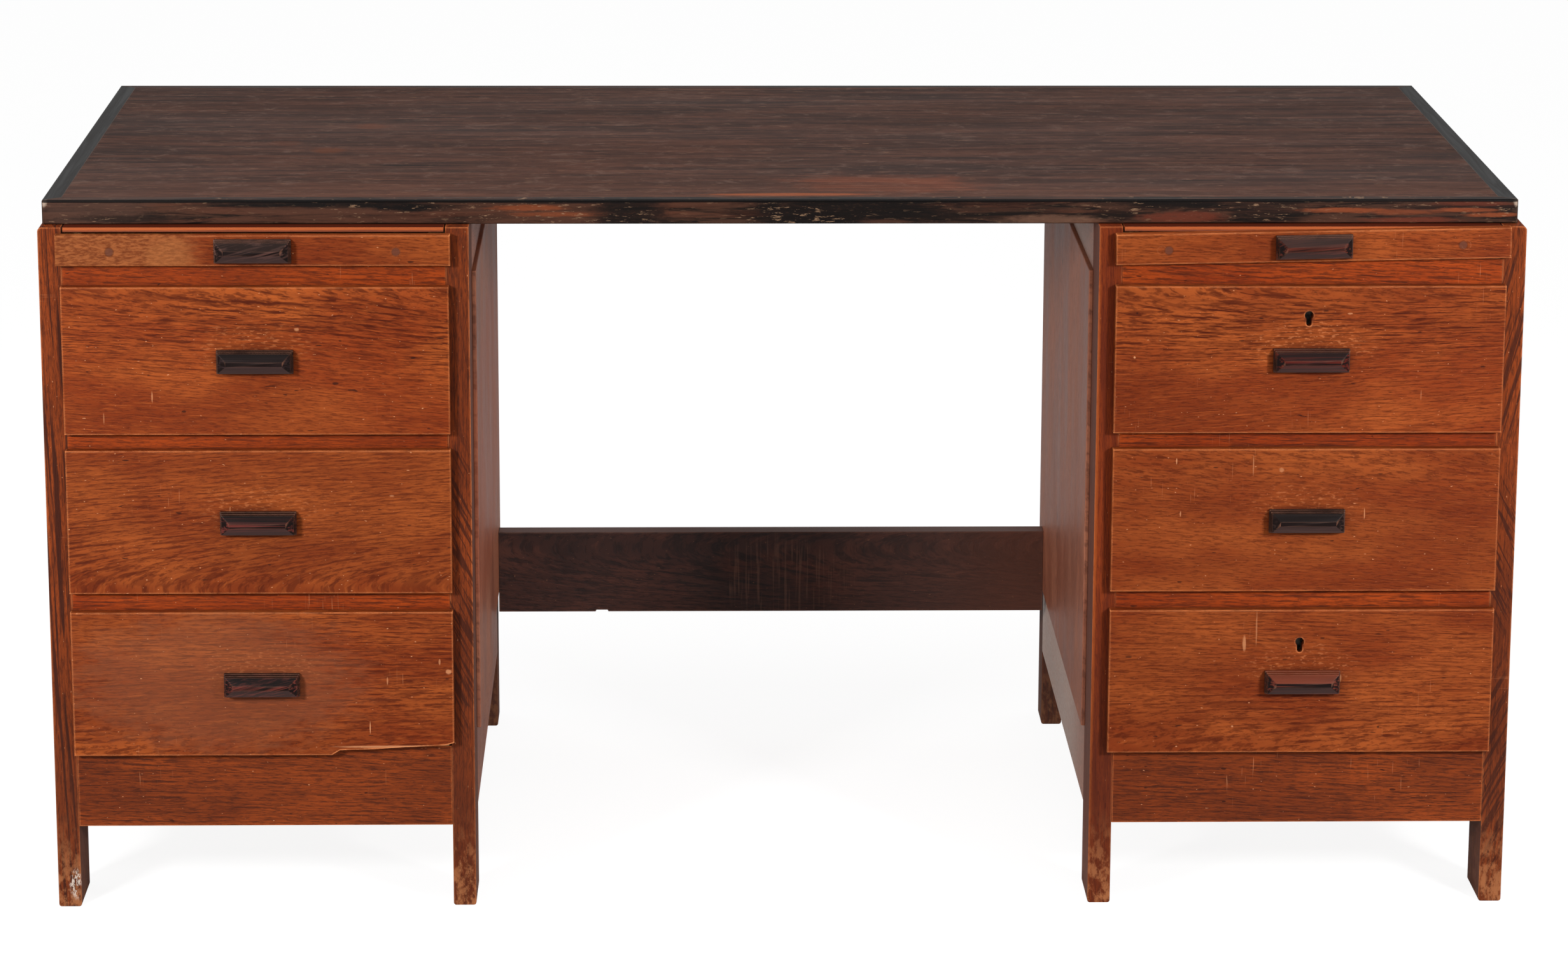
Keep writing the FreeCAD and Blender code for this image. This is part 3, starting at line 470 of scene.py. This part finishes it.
def worn_strip_with_ledge_shadow(paint, colour):
    """The thin strip over the slide: a painted shadow on its ledge, with a bright worn arris and a greyer
    lower part.
    """
    uneven = paint.noise(paint.place, (14, 1, 90), 3, 3.0, 0.6)
    height = paint.sum(paint.coordinate(UP), paint.times(paint.sum(uneven, -0.5), 0.002))
    colour = paint.mix(paint.span(height, *LEDGE_END, 0.0, 0.75), colour, tone(122, 68, 48))
    colour = paint.mix(paint.span(height, *ARRIS_START, 0.0, 0.85), colour, tone(176, 90, 46))
    # A painted shadow on the ledge's upward faces
    return paint.mix(paint.times(paint.upward(), paint.span(height, *LEDGE_END)), colour, tone(78, 28, 12))


def frame_oak(node, seed, along, **settings):
    """Legs, back rails and aprons: darker."""
    tones = (tone(140, 62, 24), tone(110, 47, 20), tone(54, 25, 17), tone(190, 108, 62))
    return oak(node, seed, along, tones, **settings)


def worn_feet_and_side_sheen(paint, colour):
    """Darker towards the floor, with the feet scuffed back to lighter wood and a painted grey sheen on the
    sideways faces.
    """
    height = paint.coordinate(UP)
    colour = paint.mix(paint.span(height, 0.46, 0.10, 0.0, 0.42), colour, tone(58, 30, 22))
    scuff = paint.span(paint.noise(paint.place, (110, 110, 60), 4, 4.0, 0.7), 0.44, 0.62)
    low = paint.span(height, 0.12, 0.0)
    colour = paint.mix(paint.times(scuff, paint.times(low, 0.8)), colour, tone(162, 102, 64))
    # A painted grey sheen on the faces that look sideways
    return paint.mix(paint.times(paint.sideways(), 0.6), colour, tone(116, 84, 74))


def greyer(paint, colour):
    """The back legs stand in the shade, with a painted grey sheen laid over them."""
    return paint.mix(0.45, worn_feet_and_side_sheen(paint, colour), tone(92, 70, 62))


def striped_legs(side):
    """The front legs: dark stripes turned away from their length, a redder leg, a worn arris with a painted
    highlight, and worn feet.
    """
    def change(paint, colour):
        for across, up, half_height, turn, fineness, length, share in LEG_STRIPES[side]:
            turned = paint.stretched(paint.place, (1, 1, 1), turn=(0, turn, 0))
            stripe = paint.noise(turned, (fineness, 40, length), 2, 2.0, 0.5, 0.4)
            halves = (STRIPE_HALF_WIDTH, STRIPE_HALF_DEPTH, half_height)
            here = paint.spot((across, LEG_MIDDLE, up), halves, 0.5, 3)
            stripe = paint.times(paint.span(stripe, 0.50, 0.58), paint.times(here, share))
            colour = paint.mix(stripe, colour, tone(56, 26, 18))
        colour = paint.mix(paint.times(paint.spot(*REDDER_LEG), 0.25), colour, tone(120, 34, 5))
        # A painted highlight, with wear, on the inner leg's arris
        arris = paint.spot(*WORN_AND_LIT_LEG_ARRIS, 1.0, 4)
        colour = paint.mix(paint.times(arris, 0.4), colour, tone(170, 84, 34))
        colour = worn_feet_and_side_sheen(paint, colour)
        return chipped_foot(paint, colour) if side == "left" else colour

    return change


def chipped_foot(paint, colour):
    """The pale chips on the left outer leg's foot."""
    near = paint.spot(*CHIPPED_FOOT, 0.9, 3)
    chips = paint.span(paint.noise(paint.place, (420, 300, 160), 6, 3.0, 0.7), 0.46, 0.54, 0.0, 0.85)
    return paint.mix(paint.times(near, chips), colour, tone(206, 190, 176))


def panel_oak(node, seed, along="z", **settings):
    """The panels and rails of the side walls: smoother, browner and more varnished."""
    tones = (tone(190, 120, 88), tone(164, 98, 72), tone(96, 54, 40), tone(170, 104, 74))
    smooth = {"streaks": 0.3, "sway": 0.006, "specks": 0.4, "gloss": 0.33, "specular": 0.45}
    return oak(node, seed, along, tones, **smooth, **settings)


def dusty_rails_with_sheen(paint, colour):
    """The rails of the right pedestal's inner wall are dusty and carry a painted grey sheen, most of all
    towards the back.
    """
    split = paint.node("ShaderNodeSeparateXYZ", {0: paint.place})
    speckle = paint.span(paint.noise(paint.place, (90, 90, 260), 8, 3.0, 0.7), 0.38, 0.60, 0.7, 1.0)
    dust_and_sheen = paint.times(paint.span(split.outputs[BACK], -0.34, -0.05, 0.2, 0.9), speckle)
    inner_wall = paint.span(split.outputs[ACROSS], 0.45, 0.40)
    # A painted grey sheen, with dust, on the inner wall's rails
    return paint.mix(paint.times(dust_and_sheen, inner_wall), colour, tone(200, 182, 170))


def redder_middle(paint, colour):
    """The left pedestal's inner panel has kept a redder varnish about its middle."""
    return paint.mix(paint.times(paint.spot(*REDDER_PANEL), 0.3), colour, tone(178, 84, 46))


def rubbed_stretcher_with_top_sheen(paint, colour):
    """The stretcher is warmer at its right end, and has upright rub marks in its middle and a painted pale
    sheen on its top.
    """
    across = paint.coordinate(ACROSS)
    colour = paint.mix(paint.span(across, -0.1, 0.30, 0.0, 0.25), colour, tone(92, 58, 46))
    colour = paint.mix(paint.span(across, 0.18, 0.31, 0.0, 0.35), colour, tone(104, 54, 32))
    line = paint.span(paint.noise(paint.place, (230, 1, 9), 5, 2.0, 0.6), 0.52, 0.62, 0.0, 0.3)
    here = paint.spot(*RUBBED_STRETCHER, 0.8, 4)
    colour = paint.mix(paint.times(line, here), colour, tone(134, 96, 78))
    # A painted pale sheen on the upward faces
    return paint.mix(paint.times(paint.upward(), 0.65), colour, tone(134, 102, 92))


def dark_oak(node, seed, along):
    """The stretcher, nearly black-brown."""
    tones = (tone(92, 52, 40), tone(64, 36, 29), tone(27, 16, 16), tone(130, 92, 76))
    dull = {"streaks": 0.9, "specks": 0.3, "scratches": 0.4, "specular": 0.34}
    return oak(node, seed, along, tones, pith=(0.03, 0.06), extra=rubbed_stretcher_with_top_sheen, **dull)


def bleached_lath(paint, colour):
    """The left lath has faded to tan over its left end."""
    faded = paint.spot(*FADED_LATH_END, 0.25, 3)
    palest = paint.spot(*PALEST_ON_LATH, 0.6, 5)
    mottle = paint.noise(paint.place, (120, 60, 420), 4, 4.0, 0.7)
    tan = paint.mix(paint.span(mottle, 0.38, 0.62), tone(150, 86, 46), tone(106, 52, 24))
    tan = paint.mix(paint.times(palest, 0.35), tan, tone(164, 102, 56))
    return paint.mix(paint.times(faded, 0.85), colour, tan)


def with_plugs(places, before=None):
    """Adds the dark round ends of a lath's two plugs at their places."""
    def change(paint, colour):
        if before is not None:
            colour = before(paint, colour)
        for place in places:
            rim = paint.spot(place, PLUG_RIM_HALVES)
            core = paint.spot(place, PLUG_HALVES)
            colour = paint.mix(paint.times(rim, 0.45), colour, tone(60, 28, 18))
            colour = paint.mix(paint.times(core, 0.7), colour, tone(98, 58, 44))
        return colour

    return change


def top_veneer():
    """The brown field of the top, dull from use, with long dark and reddish streaks."""
    paint = Paint("top_veneer")
    space = paint.grain_space("x", middle_of("top_veneer"))
    streak = paint.noise(space, (3.2, 46, 46), 0, 4.0, 0.65, 0.5)
    band = paint.noise(space, (9, 150, 150), 7, 4.0, 0.65, 0.3)
    fine = paint.noise(space, (16, 420, 420), 0, 3.0, 0.65)
    cloud = paint.noise(space, (1.6, 5.5, 5.5), 0, 3.0, 0.55)
    colour = paint.mix(paint.span(streak, 0.36, 0.64), tone(56, 35, 28), tone(86, 54, 42))
    colour = paint.mix(paint.span(cloud, 0.5, 0.72, 0.0, 0.35), colour, tone(90, 54, 40))
    colour = paint.mix(paint.span(band, 0.50, 0.66, 0.0, 0.4), colour, tone(34, 21, 18))
    colour = paint.mix(paint.span(band, 0.40, 0.28, 0.0, 0.4), colour, tone(106, 68, 50))
    colour = paint.mix(paint.span(fine, 0.52, 0.72, 0.0, 0.6), colour, tone(28, 18, 15))
    colour = paint.mix(paint.span(fine, 0.42, 0.28, 0.0, 0.5), colour, tone(112, 76, 56))
    mottle = paint.noise(space, (34, 52, 52), 9, 4.0, 0.75, 0.6)
    colour = paint.mix(paint.span(mottle, 0.52, 0.70, 0.0, 0.45), colour, tone(112, 86, 74))
    colour = paint.mix(paint.span(mottle, 0.48, 0.32, 0.0, 0.45), colour, tone(44, 27, 22))
    crack = paint.noise(space, (9, 240, 240), 2, 1.0)
    colour = paint.mix(paint.span(crack, 0.68, 0.74, 0.0, 0.8), colour, tone(16, 10, 9))
    fleck = paint.noise(space, (45, 420, 420), 3, 1.0)
    colour = paint.mix(paint.span(fleck, 0.72, 0.77, 0.0, 0.7), colour, tone(150, 112, 84))
    colour = stained_top(paint, colour, streak)
    roughness = paint.span(cloud, 0.3, 0.7, 0.55, 0.7)
    height = paint.sum(fine, paint.times(crack, -0.6))
    return paint.finish(colour, roughness, height, 0.3, 0.14)


def stained_top(paint, colour, streak):
    """The worn and stained places of the top, and its warmer front."""
    rubbed = paint.times(paint.spot(*RUBBED_TOP, 1.2, 5), paint.span(streak, 0.35, 0.6, 0.08, 0.36))
    colour = paint.mix(rubbed, colour, tone(142, 70, 40))
    orange = paint.spot(*ORANGE_ON_TOP, 0.8, 6)
    colour = paint.mix(paint.times(orange, 0.6), colour, tone(170, 86, 42))
    for across, back, share in BROWN_SPOTS:
        brown = paint.spot((across, back, TOP_HEIGHT), BROWN_SPOT_HALVES, 1.0, 8)
        colour = paint.mix(paint.times(brown, share), colour, tone(104, 54, 28))
    warmer_front = paint.span(paint.coordinate(BACK), -0.22, -0.35, 0.0, 0.16)
    return paint.mix(warmer_front, colour, tone(116, 72, 54))


def ebony(node, seed, along, striped=1.0, base=(30, 22, 20), stripe=(118, 58, 34), worn=(120, 88, 70),
          wear=0.6, fineness=130, specular=0.16, turn=0.0, extra=None):
    """Striped ebony: near black, with long brown and orange streaks, turned out of the board's line."""
    paint = Paint(node)
    space = paint.stretched(paint.grain_space(along, middle_of(node)), (1, 1, 1), turn=(0, 0, turn))
    band = paint.noise(space, (5, fineness, fineness), seed, 4.0, 0.6, 0.8)
    area = paint.noise(space, (4, 20, 20), seed + 1, 2.0, 0.5)
    fine = paint.noise(space, (30, 900, 900), seed + 2, 2.0, 0.6)
    stripe_share = paint.times(paint.span(band, 0.48, 0.62), paint.span(area, 0.36, 0.60, 0.15, striped))
    colour = paint.mix(stripe_share, tone(*base), tone(*stripe))
    colour = paint.mix(paint.span(fine, 0.5, 0.75, 0.0, 0.5), colour, tone(20, 15, 14))
    if extra is not None:
        colour = extra(paint, colour)
    # Painted shade, with grime, darkens the ebony's steps and corners
    colour = paint.mix(paint.times(paint.crevice(EBONY_GRIME_AND_SHADE_REACH), 0.7), colour, tone(12, 8, 7))
    colour = paint.mix(paint.times(paint.edge_wear(EBONY_WORN_REACH, seed), wear), colour, tone(*worn))
    roughness = paint.span(band, 0.3, 0.7, 0.36, 0.5)
    return paint.finish(colour, roughness, fine, 0.2, specular)


def handle_ebony(node, seed, stripe, upper=(16, 9, 8), turn=0.0):
    """A block handle: dark, with light worn corners, a painted grey reflection on its lower bevel and
    painted light and shade on its upper bevel.
    """
    def painted_bevel_light(paint, colour):
        up = paint.facing(UP)
        # A painted grey reflection on the downward bevels
        colour = paint.mix(paint.span(up, -0.15, -0.5, 0.0, 0.5), colour, tone(80, 59, 56))
        # Painted light and shade on the upward bevels, in each handle's own colour
        return paint.mix(paint.span(up, 0.15, 0.5, 0.0, 0.75), colour, tone(*upper))

    return ebony(node, seed, "x", base=(22, 12, 11), stripe=stripe, worn=(120, 80, 62), fineness=300,
                 specular=0.1, turn=turn, extra=painted_bevel_light)


def front_lipping_marks(paint, colour):
    """The top's front edge: brown, black and orange patches, tan scuffs, painted highlights at its ends and
    a black upper arris.
    """
    (left, face, _), (right, _, top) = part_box("top_front_lipping")
    flame = paint.noise(paint.place, (12, 60, 170), 11, 5.0, 0.7, 0.8)
    grit = paint.noise(paint.place, (90, 200, 380), 14, 3.0, 0.7)
    mottled = paint.mix(paint.span(flame, 0.42, 0.58), tone(28, 21, 18), tone(72, 47, 36))
    colour = paint.mix(0.8, colour, mottled)
    broken = paint.times(paint.span(grit, 0.36, 0.46, 0.7, 1.0), paint.span(flame, 0.30, 0.42, 0.75, 1.0))
    for across, up, half_width, half_height, share, patch_tone in EDGE_PATCHES:
        patch = paint.spot((across, face, up), (half_width, EDGE_PATCH_DEPTH, half_height), 1.3, 9)
        colour = paint.mix(paint.times(patch, paint.times(broken, share)), colour, tone(*patch_tone))
    scuff = paint.span(paint.noise(paint.place, (70, 60, 420), 13, 3.0, 0.7), 0.60, 0.66)
    where = paint.span(paint.noise(paint.place, (9, 1, 30), 12, 3.0), 0.42, 0.58, 0.2, 1.0)
    colour = paint.mix(paint.times(paint.times(scuff, where), 0.6), colour, tone(156, 122, 94))
    for across in (left, right):
        # Painted highlights at the edge's two upper corners
        corner = paint.spot((across, face, top - EDGE_HIGHLIGHT_DROP), EDGE_HIGHLIGHT_HALVES, 1.2, 10)
        colour = paint.mix(paint.times(corner, 0.7), colour, tone(180, 158, 140))
    split = paint.node("ShaderNodeSeparateXYZ", {0: paint.place})
    near_face = paint.span(split.outputs[BACK], face + ARRIS_BACK + ARRIS_FADE, face + ARRIS_BACK)
    near_top = paint.span(split.outputs[UP], top - ARRIS_DOWN - ARRIS_FADE, top - ARRIS_DOWN)
    arris = paint.times(near_face, near_top)
    return paint.mix(paint.times(arris, 0.95), colour, tone(10, 8, 8))


def softwood(node, seed, along, pith=(0.02, 0.06), tilt=(0.03, 0.06), sway=0.02, extra=None):
    """Plain unfinished softwood inside the pedestals."""
    paint = Paint(node)
    space = paint.grain_space(along, middle_of(node))
    flow, radius, _ = paint.flow(space, pith, tilt, sway, seed)
    slow = paint.noise(space, (2, 9, 9), seed, 2.0)
    uneven_rings = paint.noise(flow, (1.5, 40, 1), seed + 3, 2.0)
    ring = paint.sum(paint.times(radius, 1 / SOFTWOOD_RING_SPACING), paint.times(uneven_rings, 3.0))
    ring = paint.calculate("FRACT", ring)
    late = paint.times(paint.span(ring, 0.4, 0.85), paint.span(ring, 1.0, 0.93))
    fibre = paint.noise(flow, (30, 700, 1), seed, 3.0, 0.7)
    colour = paint.mix(paint.span(slow, 0.35, 0.65), tone(190, 150, 104), tone(170, 128, 86))
    colour = paint.mix(paint.times(late, 0.38), colour, tone(144, 98, 60))
    colour = paint.mix(paint.span(fibre, 0.4, 0.75, 0.0, 0.3), colour, tone(126, 92, 60))
    if extra is not None:
        colour = extra(paint, colour)
    # Painted shade, with grime, darkens the softwood's corners and joints
    colour = paint.mix(paint.times(paint.crevice(SOFTWOOD_GRIME_AND_SHADE_REACH), 0.6), colour, tone(84, 56, 36))
    return paint.finish(colour, paint.span(fibre, 0.2, 0.8, 0.62, 0.78), fibre, 0.25, 0.2)


def dovetails(node):
    """The end grain of a drawer's front and back walls, where it shows between the tails of the sides."""
    low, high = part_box(node)
    rows = (
        (low[BACK], 1, low[UP], high[UP], FRONT_TAIL_COUNT),
        (high[BACK], -1, low[UP] + BACK_WALL_RISE, high[UP] - BACK_WALL_DROP, BACK_TAIL_COUNT),
    )

    def change(paint, colour):
        split = paint.node("ShaderNodeSeparateXYZ", {0: paint.place})
        flank = paint.sideways()
        for end, way, floor, roof, count in rows:
            pitch = (roof - floor) / count
            depth = paint.times(paint.sum(split.outputs[BACK], -end), way)
            height = paint.sum(split.outputs[UP], -floor)
            from_edge = paint.calculate("PINGPONG", height, pitch / 2)
            tail_edge = paint.sum(paint.times(depth, TAIL_SLOPE), pitch * (1 - TAIL_WIDTH_SHARE) / 2)
            inside = paint.sum(tail_edge, paint.times(from_edge, -1.0))
            row = paint.times(paint.span(depth, WALL + SEAM, WALL - SEAM), paint.span(height, -SEAM, SEAM))
            row = paint.times(row, flank)
            end_grain = paint.times(paint.span(inside, -SEAM, SEAM), row)
            colour = paint.mix(paint.times(end_grain, 0.75), colour, tone(140, 98, 62))
            joint = paint.span(paint.calculate("ABSOLUTE", inside), JOINT_LINE_EDGE, JOINT_LINE)
            colour = paint.mix(paint.times(paint.times(joint, row), 0.7), colour, tone(74, 46, 28))
        return colour

    return change


def metal(name, colour, stain, roughness, fineness):
    """Dull lock metal with fine brushing and stains."""
    paint = Paint(name)
    brushed = paint.noise(paint.place, (60, 60, 1400), 0, 2.0)
    blotch = paint.span(paint.noise(paint.place, (fineness, fineness, fineness), 0, 4.0, 0.65), 0.42, 0.68)
    stained = paint.mix(paint.times(blotch, 0.7), colour, stain)
    rough = paint.sum(paint.times(brushed, 0.18), paint.times(blotch, 0.25))
    return paint.finish(stained, paint.sum(rough, roughness), brushed, 0.15, metallic=0.85)


def dress(node, material):
    """Gives a CAD node its material."""
    data = nodes[node].data
    data.materials.clear()
    data.materials.append(material)


def ease_edges(node):
    """Rounds a node's sharp edges a little, as handling has."""
    weld = nodes[node].modifiers.new("weld", "WELD")
    weld.merge_threshold = WELD_DISTANCE
    bevel = nodes[node].modifiers.new("ease", "BEVEL")
    bevel.width = EASED_WIDTH
    bevel.segments = 2
    bevel.limit_method = "ANGLE"
    bevel.angle_limit = SHARP_ANGLE
    bevel.use_clamp_overlap = True
    nodes[node].modifiers.new("normals", "WEIGHTED_NORMAL")


# What each node is made of

def dress_frame(side, seed):
    """The fixed pieces of one pedestal."""
    legs = frame_oak(f"{side}_front_legs", seed + 1, "z", streaks=0.5, extra=striped_legs(side))
    dress(f"{side}_front_legs", legs)
    dress(f"{side}_back_legs", frame_oak(f"{side}_back_legs", seed + 2, "z", extra=greyer))
    dust_and_sheen = dusty_rails_with_sheen if side == "right" else None
    dress(f"{side}_side_rails", panel_oak(f"{side}_side_rails", seed + 3, "yz", extra=dust_and_sheen))
    dress(f"{side}_front_rails", rail_oak(f"{side}_front_rails", seed + 4, extra=worn_strip_with_ledge_shadow))
    apron = frame_oak(f"{side}_apron", seed + 5, "x", pith=(0.16, 0.09), streaks=0.6)
    dress(f"{side}_apron", apron)
    dress(f"{side}_back_rails", frame_oak(f"{side}_back_rails", seed + 6, "x"))
    for number, part in enumerate(("outer_side_panel", "inner_side_panel", "back_panel")):
        redder = redder_middle if (side, part) == ("left", "inner_side_panel") else None
        dress(f"{side}_{part}", panel_oak(f"{side}_{part}", seed + 7 + number, extra=redder))
    dress(f"{side}_runners", softwood(f"{side}_runners", seed + 10, "yz"))


def marks_on_front(side, number, face):
    """The marks of one drawer's front, whose face lies this far back."""
    marks = []
    for table, colour in FRONT_MARKS:
        for across, up, half_width, half_height, share in table.get((side, number), ()):
            halves = (half_width, MARK_DEPTH, half_height)
            marks.append(((across, face, up), halves, share, tone(*colour)))
    return marks


def dress_drawer(side, number, seed):
    """The four nodes of one drawer."""
    name = f"{side}_drawer_{number}"
    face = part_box(f"{name}_front")[0][BACK]
    marks = marks_on_front(side, number, face)
    handle = middle_of(f"{name}_handle")
    figure = FRONT_FIGURE[side, number]
    dress(f"{name}_front", front_oak(f"{name}_front", seed, handle=handle, marks=marks, **figure))
    box = f"{name}_box"
    pith = (0.07 + 0.04 * number, 0.06)
    dress(box, softwood(box, seed + 1, "yz", pith, (0.02, 0.01), 0.014, dovetails(box)))
    dress(f"{name}_bottom", softwood(f"{name}_bottom", seed + 2, "x"))
    dress(f"{name}_handle", handle_ebony(f"{name}_handle", seed + 3, **HANDLES[side, number]))


def dress_slide(side, seed):
    """The three nodes of one writing slide."""
    faded = bleached_lath if side == "left" else None
    marks = with_plugs(PLUGS[side], faded)
    lath = f"{side}_slide_lath"
    dress(lath, front_oak(lath, seed, LATH_SHADES[side], streaks=0.4, pith=(0.1, 0.08), extra=marks))
    dress(f"{side}_slide_board", softwood(f"{side}_slide_board", seed + 1, "x"))
    dress(f"{side}_slide_handle", handle_ebony(f"{side}_slide_handle", seed + 2, **HANDLES[side, "slide"]))


def dress_top():
    """The desk top and the stretcher."""
    dress("top_core", softwood("top_core", TOP_SEED, "x"))
    dress("top_veneer", top_veneer())
    front = {"striped": 0.9, "wear": 0.1, "specular": 0.08, "extra": front_lipping_marks}
    dress("top_front_lipping", ebony("top_front_lipping", TOP_SEED + 1, "x", **front))
    dress("top_back_lipping", ebony("top_back_lipping", TOP_SEED + 2, "x", striped=0.5))
    ends = {"striped": 0.2, "base": (30, 28, 27), "stripe": (52, 44, 40)}
    dress("top_end_lippings", ebony("top_end_lippings", TOP_SEED + 3, "y", **ends))
    dress("stretcher", dark_oak("stretcher", TOP_SEED + 4, "x"))


def dress_locks():
    """The locks of the right pedestal."""
    for number in LOCKED_DRAWERS:
        fineness = 90.0 + number
        case = f"lock_{number}_case"
        dress(case, metal(case, tone(150, 146, 138), tone(84, 70, 58), 0.35, fineness))
        bolt = f"lock_{number}_bolt"
        dress(bolt, metal(bolt, tone(196, 164, 96), tone(110, 84, 48), 0.28, fineness))


for side, seed in zip(SIDES, SIDE_SEEDS):
    dress_frame(side, seed)
    dress_slide(side, seed + SLIDE_SEED)
    for number in DRAWERS:
        dress_drawer(side, number, seed + DRAWER_SEED + SEEDS_PER_DRAWER * number)
dress_top()
dress_locks()

for node in nodes:
    if not node.endswith(SHARP_PIECES):
        ease_edges(node)


# Floor, light and camera

# The camera sees the floor whitened by a share of plain light. The desk sees it as it is lit.
FLOOR_REACH = 30.0
FLOOR_LIGHT, FLOOR_WHITENING = 1.4, 0.64
LIGHT_ON_DESK, LIGHT_BEHIND = 0.38, 1.0
SIDE_LAMP_PLACE, SIDE_LAMP_TARGET = (1.95, -2.6, 1.42), (0.8, -0.4, 0.45)
OVERHEAD_LAMP_PLACE, OVERHEAD_LAMP_TARGET = (0, -0.8, 3.0), (0, 0, 0.6)


def make_floor():
    """A plain pale floor that runs out of sight."""
    mesh = bpy.data.meshes.new("floor")
    corners = [(x * FLOOR_REACH, y * FLOOR_REACH, 0) for x, y in ((-1, -1), (1, -1), (1, 1), (-1, 1))]
    mesh.from_pydata(corners, [], [(0, 1, 2, 3)])
    floor = bpy.data.objects.new("floor", mesh)
    bpy.context.scene.collection.objects.link(floor)
    paint = Paint("floor")
    shaded = paint.node("ShaderNodeBsdfDiffuse", {"Color": tone(205, 205, 205)}).outputs[0]
    bright = paint.node("ShaderNodeEmission", {"Strength": FLOOR_LIGHT}).outputs[0]
    seen = paint.times(paint.node("ShaderNodeLightPath").outputs["Is Camera Ray"], FLOOR_WHITENING)
    mixed = paint.node("ShaderNodeMixShader", {0: seen, 1: shaded, 2: bright}).outputs[0]
    paint.node("ShaderNodeOutputMaterial", {"Surface": mixed})
    mesh.materials.append(paint.material)


def make_world():
    """Even white surroundings: plain light on the desk, and white behind it."""
    world = bpy.data.worlds.new("studio")
    bpy.context.scene.world = world
    world.use_nodes = True
    tree = world.node_tree
    tree.nodes.clear()
    background = tree.nodes.new("ShaderNodeBackground")
    rays = tree.nodes.new("ShaderNodeLightPath")
    strength = tree.nodes.new("ShaderNodeMapRange")
    strength.inputs["To Min"].default_value = LIGHT_ON_DESK
    strength.inputs["To Max"].default_value = LIGHT_BEHIND
    tree.links.new(rays.outputs["Is Camera Ray"], strength.inputs["Value"])
    tree.links.new(strength.outputs[0], background.inputs["Strength"])
    background.inputs["Color"].default_value = (1, 1, 1, 1)
    output = tree.nodes.new("ShaderNodeOutputWorld")
    tree.links.new(background.outputs[0], output.inputs["Surface"])


def make_lamp(name, place, target, size, watts, spread=180):
    """A soft square lamp that faces its target and lights the given angle around it."""
    data = bpy.data.lights.new(name, "AREA")
    data.size = size
    data.energy = watts
    data.spread = math.radians(spread)
    lamp = bpy.data.objects.new(name, data)
    bpy.context.scene.collection.objects.link(lamp)
    lamp.location = place
    lamp.rotation_mode = "QUATERNION"
    lamp.rotation_quaternion = (Vector(target) - Vector(place)).to_track_quat("-Z", "Y")


def make_side_lamps():
    """Two small lamps before the desk, one to each side and the mirror image of the other."""
    for side, way in zip(SIDES, (-1, 1)):
        place, target = ((way * x, y, z) for x, y, z in (SIDE_LAMP_PLACE, SIDE_LAMP_TARGET))
        make_lamp(f"{side}_lamp", place, target, size=0.45, watts=8.3, spread=60)


def make_camera():
    """The photograph's view, with the roll about its own line of sight."""
    data = bpy.data.cameras.new("photo_view")
    data.sensor_width = SENSOR_WIDTH
    data.lens = FOCAL_PIXELS / IMAGE_WIDTH * SENSOR_WIDTH
    camera = bpy.data.objects.new("photo_view", data)
    bpy.context.scene.collection.objects.link(camera)
    ahead = Vector((
        math.sin(CAMERA_YAW) * math.cos(CAMERA_PITCH),
        math.cos(CAMERA_YAW) * math.cos(CAMERA_PITCH),
        -math.sin(CAMERA_PITCH),
    ))
    level = Vector((math.cos(CAMERA_YAW), -math.sin(CAMERA_YAW), 0))
    down = ahead.cross(level)
    right = level * math.cos(CAMERA_ROLL) + down * math.sin(CAMERA_ROLL)
    below = -level * math.sin(CAMERA_ROLL) + down * math.cos(CAMERA_ROLL)
    turned = Matrix((right, -below, -ahead)).transposed()
    camera.matrix_world = Matrix.Translation(CAMERA_PLACE) @ turned.to_4x4()
    bpy.context.scene.camera = camera


make_floor()
make_world()
make_side_lamps()
make_lamp("overhead_lamp", OVERHEAD_LAMP_PLACE, OVERHEAD_LAMP_TARGET, size=2.0, watts=34)
make_camera()
bpy.context.scene.view_settings.view_transform = "Standard"
